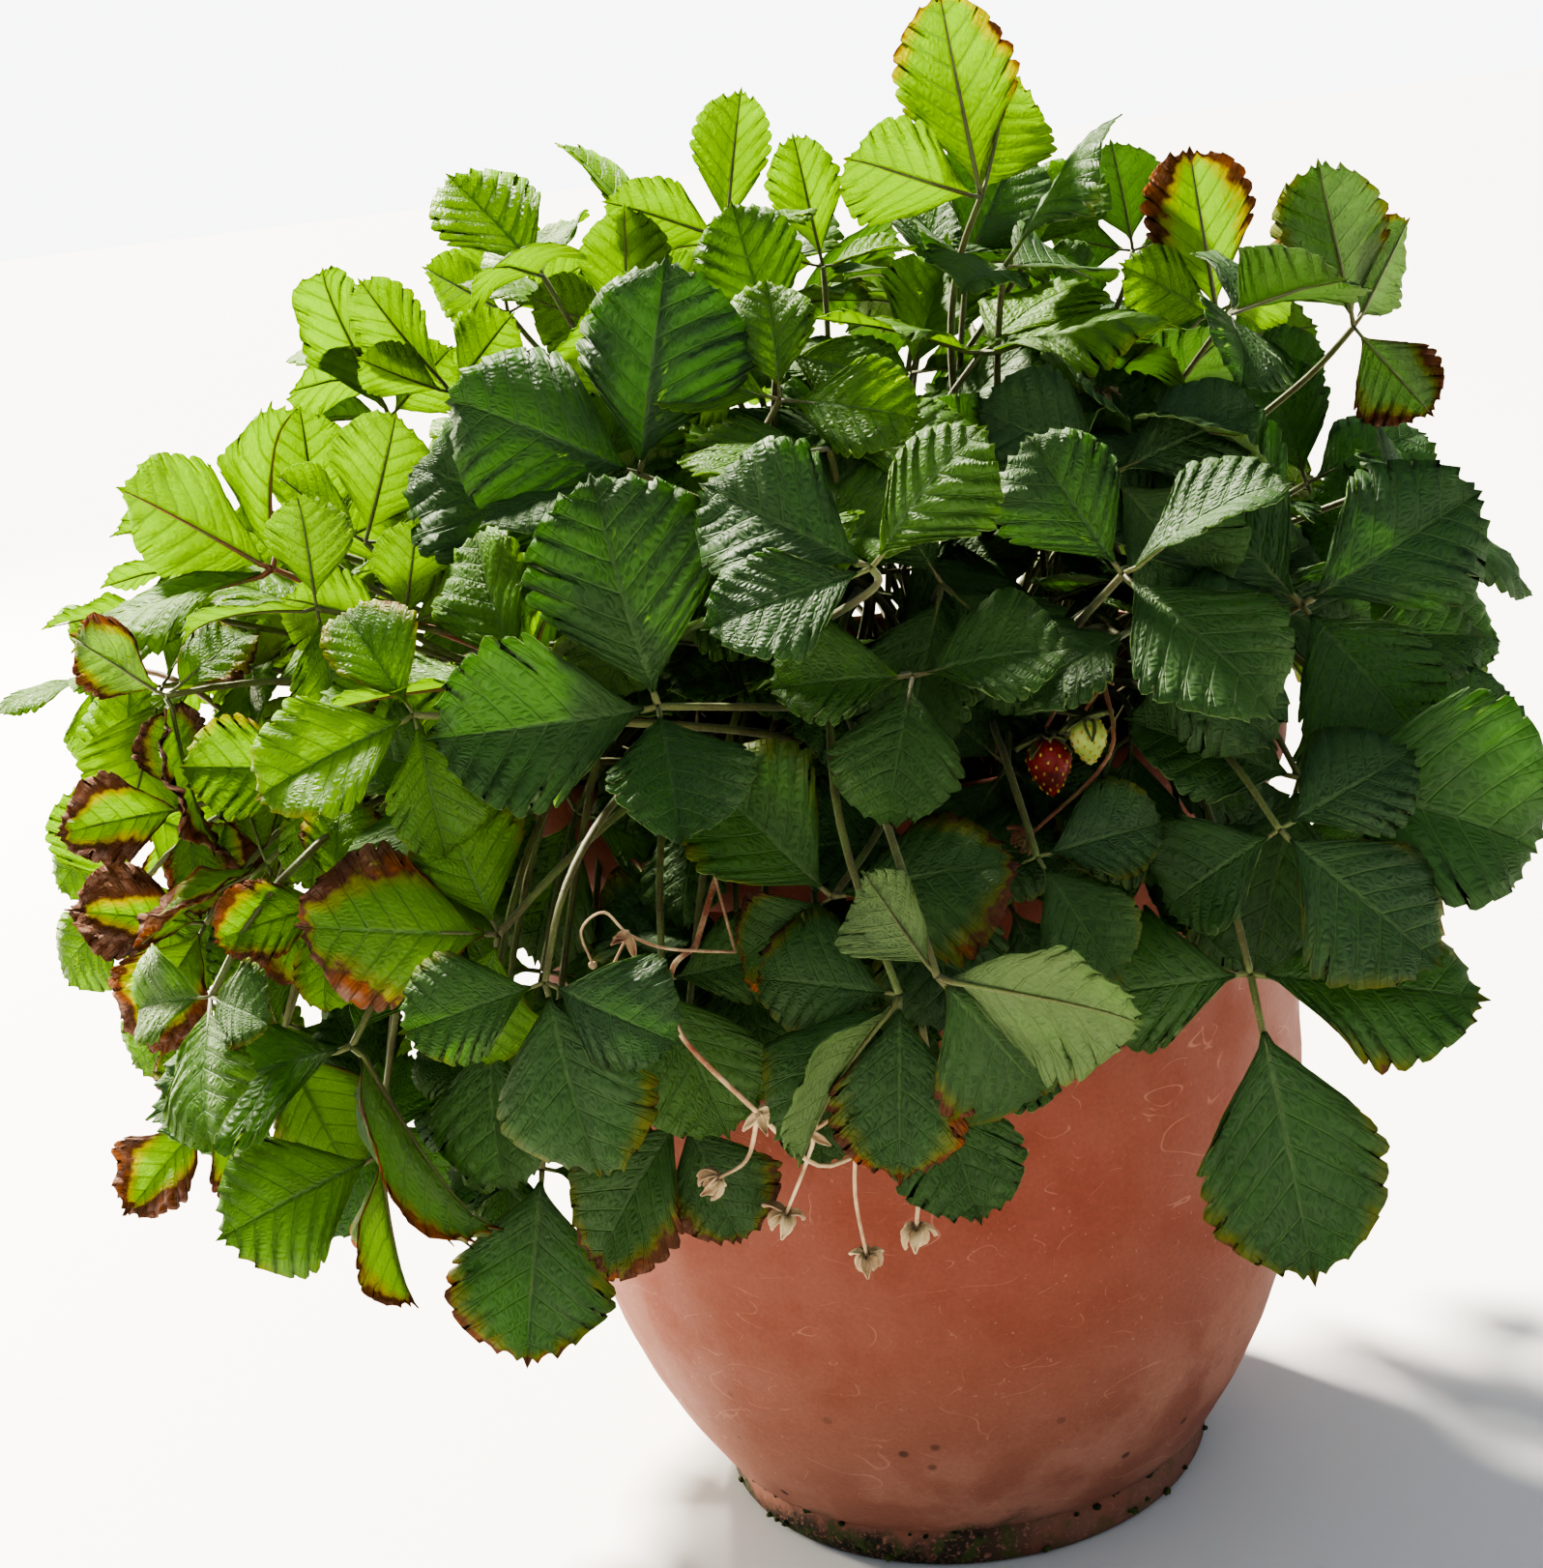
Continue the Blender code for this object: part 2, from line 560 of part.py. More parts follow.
def blade(grid, mat, home):
    """A leaflet: a plane grid, its points laid on the leaflet's rows, made a thin slab."""
    bm = bmesh.new()
    bmesh.ops.create_grid(bm, x_segments=2, y_segments=len(grid) - 1, size=1)
    ordered = sorted(bm.verts, key=lambda v: (round(v.co.y, 4), v.co.x))
    for vert, spot in zip(ordered, [spot for row in grid for spot in row]):
        vert.co = spot * MM
    mesh = bpy.data.meshes.new("blade")
    bm.to_mesh(mesh)
    bm.free()
    obj = link(bpy.data.objects.new("blade", mesh), mat, home)
    slab = obj.modifiers.new("thickness", "SOLIDIFY")
    slab.thickness = BLADE_THICK * MM
    slab.offset = 0
    solid = baked(obj)
    scrap(obj)
    return link(bpy.data.objects.new("blade", solid), mat, home)


def fused(name, pieces, mat, home):
    """Overlapping closed pieces joined into one body."""
    others = bpy.data.collections.new(name + "_pieces")
    for piece in pieces[1:]:
        home.objects.unlink(piece)
        others.objects.link(piece)
    bpy.context.scene.collection.children.link(others)
    join = pieces[0].modifiers.new("join", "BOOLEAN")
    join.operation = "UNION"
    join.operand_type = "COLLECTION"
    join.collection = others
    mesh = baked(pieces[0], 0.000001)
    for piece in pieces:
        scrap(piece)
    bpy.data.collections.remove(others)
    mesh.name = name
    return link(bpy.data.objects.new(name, mesh), mat, home)


def knuckle(spot, radius, mat, home):
    """The little swelling where leaflets or branches leave a stalk."""
    bpy.ops.mesh.primitive_ico_sphere_add(subdivisions=1, radius=radius * MM, location=Vector(spot) * MM)
    ball = bpy.context.object
    for other in ball.users_collection:
        other.objects.unlink(ball)
    return link(ball, mat, home)


def make_leaf(name, hub, path, leaflets, mat, home):
    pieces = [knuckle(hub, KNUCKLE, mat, home)]
    pieces += [tube("stalk", path, STALK_RADIUS, mat, home)] if path else []
    pieces += [blade(leaflet_grid(hub, *leaflet), mat, home) for leaflet in leaflets]
    return fused(name, pieces, mat, home)


def make_truss(name, thick, path, branches, calyces, route, mat, home):
    pieces = [tube("stalk", route + [Vector(p) for p in path[1:]], thick, mat, home)]
    for branch in branches:
        pieces.append(knuckle(branch[0], thick * 1.6, mat, home))
        pieces.append(tube("stalk", [Vector(p) for p in branch], thick * 0.8, mat, home))
    for spot in calyces:
        pieces.append(turned("calyx", calyx_profile(), 8, mat, home, spot, spot[2]))
    return fused(name, pieces, mat, home)


def calyx_profile():
    return [(0, 1.5), (2.2, 1), (5.5, -3.5), (0, -2.2)]


def berry_profile(wide, tall):
    """From the shoulders at the top to the point at the bottom."""
    half = tall / 2
    return [(0, half), (0.7 * wide, 0.85 * half), (wide, 0.35 * half), (0.8 * wide, -0.3 * half),
            (0.4 * wide, -0.8 * half), (0, -half)]


def make_pot(mat, home, cutters):
    pot = turned("pot", pot_profile(), POT_STEPS, mat, home)
    for i in range(DRAIN_HOLES):
        turn = math.tau * i / DRAIN_HOLES
        bpy.ops.mesh.primitive_cylinder_add(
            vertices=16, radius=DRAIN_RADIUS * MM, depth=30 * MM,
            location=(DRAIN_RING * MM * math.cos(turn), DRAIN_RING * MM * math.sin(turn), 0))
        cutter = bpy.context.object
        cutter.name = f"drain_cutter_{i + 1}"
        for other in cutter.users_collection:
            other.objects.unlink(cutter)
        cutters.objects.link(cutter)
        cutter.hide_render = True
        cutter.display_type = "WIRE"
        cut = pot.modifiers.new(f"drain_{i + 1}", "BOOLEAN")
        cut.operation = "DIFFERENCE"
        cut.object = cutter
    return pot


def crown_profile():
    return [(0, CROWN_HEIGHT), (CROWN_RADIUS * 0.5, CROWN_HEIGHT - 2),
            (CROWN_RADIUS * 0.75, CROWN_HEIGHT * 0.7), (CROWN_RADIUS, CROWN_HEIGHT * 0.3),
            (CROWN_RADIUS, 0), (0, 0)]


def main():
    clear_scene()
    home = bpy.data.collections.new("potted_strawberry_plant")
    cutters = bpy.data.collections.new("cutters")
    bpy.context.scene.collection.children.link(home)
    bpy.context.scene.collection.children.link(cutters)
    clay = material("clay", (0.36, 0.12, 0.07), 0.75)
    earth = material("earth", (0.05, 0.035, 0.025), 0.95)
    leaf_green = material("leaf_green", (0.09, 0.2, 0.05), 0.55)
    bark = material("crown_brown", (0.16, 0.09, 0.05), 0.9)
    straw = material("dry_straw", (0.45, 0.33, 0.18), 0.85)
    unripe = material("unripe_berry", (0.35, 0.45, 0.12), 0.5)
    ripe = material("ripe_berry", (0.45, 0.03, 0.02), 0.4)

    make_pot(clay, home, cutters)
    turned("soil", soil_profile(), POT_STEPS, earth, home)

    room = Room()
    room.take("pot", [padded_lathe(pot_profile())])
    for name, (x, y) in CROWNS.items():
        seat = soil_top(math.hypot(x, y)) + 0.4
        turned(name, crown_profile(), 12, bark, home, (x, y), seat)
        room.take(name, [padded_lathe([(r, z + seat) for r, z in crown_profile()], (x, y), 12)])

    take_trusses(room)
    hubs = seat_blades(room)
    routes = route_stalks(room, hubs)
    for name, _, *leaflets in LEAVES:
        make_leaf(name, hubs[name], routes[name], leaflets, leaf_green, home)
    for name, thick, path, branches, calyces in TRUSSES:
        mat = leaf_green if name in ("fruit_truss", "right_stalk") else straw
        make_truss(name, thick, path, branches, calyces, routes[name], mat, home)
    name, path = RUNNER
    way = routes[name] + [Vector(p) for p in path[1:]]
    make_leaf(name, Vector(path[-1]), way, PLANTLET, leaf_green, home)
    for name, (spot, wide, tall) in BERRIES.items():
        mat = unripe if name == "berry_green" else ripe
        turned(name, berry_profile(wide, tall), 10, mat, home, spot, spot[2])


main()
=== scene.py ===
# Potted strawberry plant: round clay pot, soil, toothed three-part leaves, dried trusses, berries, runner.
import math
import random
from itertools import islice

import bpy
import numpy as np
from mathutils import Matrix, Vector, noise
from mathutils.bvhtree import BVHTree


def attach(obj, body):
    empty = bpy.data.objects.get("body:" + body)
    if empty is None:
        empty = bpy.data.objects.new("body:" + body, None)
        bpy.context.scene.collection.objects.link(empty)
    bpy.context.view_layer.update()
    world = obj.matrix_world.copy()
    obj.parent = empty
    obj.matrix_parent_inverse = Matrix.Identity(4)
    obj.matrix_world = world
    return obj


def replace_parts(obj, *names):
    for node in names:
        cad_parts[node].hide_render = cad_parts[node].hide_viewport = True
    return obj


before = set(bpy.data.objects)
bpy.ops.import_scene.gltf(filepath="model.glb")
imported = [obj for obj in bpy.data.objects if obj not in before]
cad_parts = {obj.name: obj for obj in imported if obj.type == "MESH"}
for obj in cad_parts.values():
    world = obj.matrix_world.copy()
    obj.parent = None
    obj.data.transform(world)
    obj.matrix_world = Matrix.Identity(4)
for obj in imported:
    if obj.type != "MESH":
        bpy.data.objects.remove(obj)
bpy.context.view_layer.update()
mm = 0.001  # shapes below are worked out in millimetres
bpy.ops.object.select_all(action="DESELECT")


def linear(value):
    value /= 255
    return value / 12.92 if value <= 0.04045 else ((value + 0.055) / 1.055) ** 2.4


def rgb(red, green, blue):
    return (linear(red), linear(green), linear(blue), 1)


def unit(vector):
    return Vector(vector).normalized()


def only(obj, *others):
    bpy.ops.object.select_all(action="DESELECT")
    for one in (obj, *others):
        one.select_set(True)
    bpy.context.view_layer.objects.active = obj
    return obj


def merged(objects, name):
    whole = only(*objects)
    if len(objects) > 1:
        bpy.ops.object.join()
    whole.name = name
    whole.data.name = name
    return whole


def newObject(name, data):
    obj = bpy.data.objects.new(name, data)
    bpy.context.scene.collection.objects.link(obj)
    return obj


def thicken(obj, thickness, backSlot=0):
    # thickness behind the face; the back and the rim take that material slot
    skin = obj.modifiers.new("skin", "SOLIDIFY")
    skin.thickness = thickness * mm
    skin.offset = -1
    skin.material_offset = backSlot
    skin.material_offset_rim = backSlot
    only(obj)
    bpy.ops.object.modifier_apply(modifier="skin")


def weld(obj, distance, outward=False, spin=0):
    # joins points closer than that many metres, after a full turn in that many steps if asked
    only(obj)
    bpy.ops.object.mode_set(mode="EDIT")
    bpy.ops.mesh.select_all(action="SELECT")
    if spin:
        bpy.ops.mesh.spin(steps=spin, angle=math.tau, center=(0, 0, 0), axis=(0, 0, 1))
        bpy.ops.mesh.select_all(action="SELECT")
    bpy.ops.mesh.remove_doubles(threshold=distance)
    if outward:
        bpy.ops.mesh.normals_make_consistent(inside=False)
    bpy.ops.object.mode_set(mode="OBJECT")
    return obj


def dress(obj, *materials):
    obj.data.materials.clear()
    for material in materials:
        obj.data.materials.append(material)
    return obj


def place(piece, slotName, *nodes):
    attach(piece, "root")
    if nodes:
        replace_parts(piece, *nodes)
    return piece


class Sheet:
    # adds and wires the nodes of one material or group
    def __init__(self, tree):
        self.tree = tree
        self.count = 0

    def add(self, kind, wires=None, **settings):
        node = self.tree.nodes.new("ShaderNode" + kind)
        node.location = (220 * (self.count % 12), -260 * (self.count // 12))
        self.count += 1
        for key, value in settings.items():
            setattr(node, key, value)
        for key, value in (wires or {}).items():
            self.wire(value, node.inputs[key])
        return node

    def wire(self, value, socket):
        if isinstance(value, bpy.types.NodeSocket):
            self.tree.links.new(value, socket)
        else:
            socket.default_value = value

    def calc(self, operation, a, b=0.0, clamp=False):
        return self.add("Math", {0: a, 1: b}, operation=operation, use_clamp=clamp).outputs[0]

    def times(self, a, b):
        return self.calc("MULTIPLY", a, b)

    def plus(self, a, b):
        return self.calc("ADD", a, b)

    def minus(self, a, b):
        return self.calc("SUBTRACT", a, b)

    def step(self, value, low, high, start=0.0, end=1.0):
        # smooth step from low to high
        wires = {"Value": value, "From Min": low, "From Max": high, "To Min": start, "To Max": end}
        return self.add("MapRange", wires, interpolation_type="SMOOTHSTEP").outputs["Result"]

    def blend(self, factor, a, b, mode="MIX"):
        return self.add("Mix", {0: factor, 6: a, 7: b}, data_type="RGBA", blend_type=mode).outputs[2]

    def layered(self, colour, *layers):
        # lays (factor, colour) layers over a colour, one by one
        for factor, layer in layers:
            colour = self.blend(factor, colour, layer)
        return colour

    def vector(self, x, y, z=0.0):
        return self.add("CombineXYZ", {0: x, 1: y, 2: z}).outputs[0]

    def noise(self, vector, scale, detail=3.0, rough=0.5):
        return self.add("TexNoise", {"Vector": vector, "Scale": scale, "Detail": detail,
                                     "Roughness": rough}).outputs[0]

    def finish(self, shader, colour, height, strength, distance, more):
        # base colour, bump and the other inputs of a shader
        normal = self.add("Bump", {"Height": height, "Strength": strength, "Distance": distance}).outputs[0]
        for key, value in {"Base Color": colour, "Normal": normal, **more}.items():
            self.wire(value, shader.inputs[key])
        return normal

    def shaded(self, colour, grain, dark, light):
        # the grain darkens and lightens a colour a little
        shade = self.step(grain, 0.25, 0.75, dark, light)
        return self.blend(1.0, colour, self.vector(shade, shade, shade), "MULTIPLY")


def makeGroup(name, inputs, outputs):
    group = bpy.data.node_groups.new(name, "ShaderNodeTree")
    for socketName, kind in inputs.items():
        group.interface.new_socket(socketName, in_out="INPUT", socket_type="NodeSocket" + kind)
    for socketName in outputs:
        group.interface.new_socket(socketName, in_out="OUTPUT", socket_type="NodeSocketFloat")
    return group, Sheet(group), group.nodes.new("NodeGroupInput"), group.nodes.new("NodeGroupOutput")


def useGroup(sheet, group, wires):
    node = sheet.tree.nodes.new("ShaderNodeGroup")
    node.node_tree = group
    node.location = (-400, -200)
    for key, value in wires.items():
        sheet.wire(value, node.inputs[key])
    return node.outputs


def makeMaterial(name):
    material = bpy.data.materials.new(name)
    material.use_nodes = True
    shader = material.node_tree.nodes["Principled BSDF"]
    shader.location = (2800, 0)
    material.node_tree.nodes["Material Output"].location = (3400, 0)
    return material, Sheet(material.node_tree), shader


leafFinish = {
    "shade": rgb(60, 84, 56),        # blue-green of a grown leaf; leaves on the shaded right keep it fully, as painted shade
    "freshAndLitSide": rgb(94, 130, 36),       # younger, yellower leaf, and painted light on leaves of the lit top and left
    "vein": rgb(118, 150, 92),
    "under": rgb(122, 142, 96),
    "underVein": rgb(150, 170, 112),
    "yellow": rgb(118, 122, 40),
    "rust": rgb(116, 74, 52),
    "crisp": rgb(172, 134, 116),
    "through": (0.19, 0.36, 0.03, 1),   # light passed on by one skin of a grown leaf
    # light passed on by a young leaf, and painted glow on leaves of the lit top and left
    "throughFreshAndLitSide": (0.56, 0.80, 0.0, 1),
    "throughDry": (0.22, 0.14, 0.08, 1),
    "ember": rgb(170, 98, 44),
    "passing": 0.5,
    "ribs": 10.0,                     # side veins along each half of a leaflet
}


def makeVeinGroup():
    group, sheet, start, end = makeGroup(
        "leafVeins", {"Map": "Vector", "Phase": "Float", "Ribs": "Float"}, ("Vein", "Net", "Rim", "Height"))
    spot = sheet.add("SeparateXYZ", {0: start.outputs["Map"]})
    edge = sheet.times(sheet.calc("ABSOLUTE", sheet.minus(spot.outputs[0], 0.5)), 2.0)
    along = sheet.times(spot.outputs[1], start.outputs["Ribs"])
    off = sheet.calc("ABSOLUTE", sheet.minus(sheet.calc("FRACT", sheet.plus(along, 0.5)), 0.5))
    width = sheet.minus(0.085, sheet.times(edge, 0.055))
    side = sheet.step(sheet.calc("DIVIDE", off, width), 0.25, 1.0, 1.0, 0.0)
    fork = sheet.calc("ABSOLUTE", sheet.minus(off, sheet.times(sheet.minus(edge, 0.5), 0.55)))
    forked = sheet.times(sheet.step(fork, 0.0, 0.035, 0.55, 0.0), sheet.step(edge, 0.5, 0.6))
    midrib = sheet.step(edge, 0.015, 0.065, 1.0, 0.0)
    vein = sheet.calc("MAXIMUM", sheet.calc("MAXIMUM", side, forked), midrib)
    cells = sheet.add("TexVoronoi", {
        "Vector": sheet.vector(sheet.times(spot.outputs[0], 24.0),
                               sheet.times(along, 2.6), start.outputs["Phase"]),
        "Scale": 1.0, "Randomness": 0.9}, feature="DISTANCE_TO_EDGE")
    net = sheet.step(cells.outputs["Distance"], 0.0, 0.13, 1.0, 0.0)
    bulge = sheet.step(cells.outputs["Distance"], 0.0, 0.45, 0.0, 0.5)
    height = sheet.minus(bulge, sheet.times(vein, 0.8))
    rim = sheet.calc("MAXIMUM", edge, sheet.step(spot.outputs[1], 0.8, 1.0))
    for socket, value in zip(end.inputs, (vein, net, rim, height)):
        sheet.wire(value, socket)
    return group


def makeAgeGroup():
    # a leaf dries from its margin inwards: first yellow, then rust, then crisp and pale
    group, sheet, start, end = makeGroup(
        "leafAgeing", {"Where": "Vector", "Edge": "Float", "Age": "Float"}, ("Yellow", "Dry", "Crisp"))
    broad = sheet.noise(start.outputs["Where"], 38.0, 3.0)
    fine = sheet.noise(start.outputs["Where"], 240.0, 3.0, 0.6)
    ragged = sheet.plus(sheet.times(sheet.minus(broad, 0.5), 1.1),
                        sheet.times(sheet.minus(fine, 0.5), 0.35))
    reach = sheet.plus(sheet.plus(start.outputs["Edge"], ragged),
                       sheet.times(start.outputs["Age"], 0.72))
    yellow, dry = sheet.step(reach, 1.14, 1.46), sheet.step(reach, 1.38, 1.5)
    crisp = sheet.times(sheet.step(reach, 1.5, 1.8), sheet.step(fine, 0.42, 0.6))
    for socket, value in zip(end.inputs, (yellow, dry, crisp)):
        sheet.wire(value, socket)
    return group


veinGroup = makeVeinGroup()
ageGroup = makeAgeGroup()


def makeLeafMaterial(name, upper):
    material, sheet, shader = makeMaterial(name)
    maps = sheet.add("TexCoord").outputs
    where = maps["Object"]
    look = sheet.add("Attribute", attribute_name="look")
    age, tint, phase = sheet.add("SeparateColor", {0: look.outputs["Color"]}).outputs[:3]
    vein, net, rim, relief = useGroup(sheet, veinGroup, {
        "Map": maps["UV"], "Phase": sheet.times(phase, 40.0), "Ribs": leafFinish["ribs"]})
    yellow, dry, crisp = useGroup(sheet, ageGroup, {"Where": where, "Edge": rim, "Age": age})
    cloud = sheet.noise(where, 55.0, 4.0, 0.6)
    grain = sheet.noise(where, 900.0, 2.0, 0.6)
    # the blend toward the fresh colour by tint is partly younger leaves and partly painted light: leaves on
    # the lit top and left carry a high tint, those on the shaded right a low one
    if upper:
        green = sheet.layered(
            leafFinish["shade"], (tint, leafFinish["freshAndLitSide"]),
            (sheet.step(cloud, 0.35, 0.75, 0.0, 0.45), rgb(70, 104, 52)),
            (sheet.times(net, 0.22), leafFinish["vein"]), (sheet.times(vein, 0.38), leafFinish["vein"]))
    else:
        green = sheet.layered(
            # the underside also turns yellower with tint, partly painted light on the lit side
            leafFinish["under"], (sheet.step(cloud, 0.3, 0.8, 0.0, 0.5), rgb(138, 152, 112)),
            (sheet.step(tint, 0.3, 0.9), rgb(104, 142, 34)), (sheet.times(net, 0.3), leafFinish["underVein"]),
            (sheet.times(vein, 0.6), leafFinish["underVein"]))
    rust = sheet.blend(sheet.step(cloud, 0.5, 0.64), leafFinish["rust"], leafFinish["ember"])
    colour = sheet.layered(green, (sheet.times(yellow, 0.8), leafFinish["yellow"]), (dry, rust),
                           (crisp, leafFinish["crisp"]))
    gloss = sheet.step(cloud, 0.3, 0.7, 0.50 if upper else 0.7, 0.64 if upper else 0.8)
    height = sheet.plus(relief, sheet.times(grain, 0.16))
    if not upper:
        height = sheet.times(height, -1.0)
    normal = sheet.finish(shader, sheet.shaded(colour, grain, 0.9, 1.08), height, 0.8, 0.0007, {
        "Roughness": sheet.calc("ADD", gloss, sheet.times(dry, 0.3), clamp=True),
        "Specular IOR Level": 0.45 if upper else 0.15})
    throughVein = (0.16, 0.30, 0.01, 1)
    old = sheet.blend(tint, (0.34, 0.30, 0.02, 1), (0.80, 0.66, 0.03, 1))
    # the light passed on grows with tint: partly thin young leaves, partly painted glow on leaves of the lit
    # top and left
    through = sheet.layered(
        leafFinish["through"], (sheet.step(tint, 0.1, 0.7), leafFinish["throughFreshAndLitSide"]),
        (sheet.times(vein, 0.4), throughVein), (sheet.times(net, 0.22), throughVein),
        (yellow, old), (dry, leafFinish["throughDry"]))
    glow = sheet.add("BsdfTranslucent", {"Color": through, "Normal": normal})
    mix = sheet.add("MixShader", {0: leafFinish["passing"], 1: shader.outputs[0], 2: glow.outputs[0]})
    sheet.wire(mix.outputs[0], material.node_tree.nodes["Material Output"].inputs[0])
    return material


def makeStalkMaterial(name, pale, dark, rough, freckle):
    material, sheet, shader = makeMaterial(name)
    where = sheet.add("TexCoord").outputs["Object"]
    look = sheet.add("Attribute", attribute_name="look")
    red = sheet.add("SeparateColor", {0: look.outputs["Color"]}).outputs[0]
    streak = sheet.noise(where, 90.0, 4.0, 0.6)
    speck = sheet.noise(where, 1400.0, 2.0, 0.5)
    colour = sheet.layered(
        pale, (sheet.step(streak, 0.3, 0.7), dark),
        (sheet.times(red, sheet.step(streak, 0.2, 0.6)), rgb(140, 70, 48)),
        (sheet.step(speck, 0.55, 0.75, 0.0, freckle), rgb(214, 208, 176)))
    sheet.finish(shader, colour, speck, 0.5, 0.0003, {"Roughness": rough, "Sheen Weight": 0.15})
    return material


leafUpper = makeLeafMaterial("leafUpper", True)
leafUnder = makeLeafMaterial("leafUnder", False)
stalkGreen = makeStalkMaterial("stalkGreen", rgb(84, 102, 44), rgb(58, 74, 30), 0.6, 0.1)
stalkDry = makeStalkMaterial("stalkDry", rgb(214, 190, 148), rgb(150, 116, 84), 0.8, 0.3)
print("leaf and stalk materials made")


# profile of the pot: its foot, the groove above it, the belly and the neck below the rolled lip
pot = {"footRadius": 88, "grooveRadius": 90, "grooveHeight": 14, "wallStart": 17, "bellyRadius": 131,
       "bellyHeight": 165, "neckRadius": 124.5, "neckHeight": 250, "height": 285, "lip": 7.5, "wall": 5,
       "floor": 8, "drains": 5, "drainRadius": 6, "drainRing": 45}
soil = {"edge": 250, "rise": 5}
crowns = {"crown_left": (-38, -30), "crown_right": (40, -24), "crown_back": (0, 46)}
crownSize = {"radius": 12, "height": 24}
# coarse leaflets and stalks, which keep their distance from one another; angles in degrees
growth = {"blade": 1.2, "width": 0.8, "stalk": 1.3, "knuckle": 2.6, "gap": 0.5, "neck": 4, "widest": 0.56,
          "fold": 12, "droop": 18}
# inside this radius and below this height a leaf may touch others
deepInside = {"radius": 125, "height": 385}

faces = {"front": (0, -8, 4), "back": (0, 8, 3), "up": (0, -1, 9), "left": (-9, -1, 2), "upLeft": (-5, -2, 8),
         "upRight": (5, -2, 8), "backLeft": (-7, 6, 2), "frontLeft": (-5, -7, 4), "behind": (0, 8, 4)}


def leafRow(name, hub, *leaflets):
    # a leaflet is where it points, where its upper side faces, its length and, if not short, its own stalk
    return "leaf_" + name, hub, *(((x, y, z), *rest) for x, y, z, *rest in leaflets)


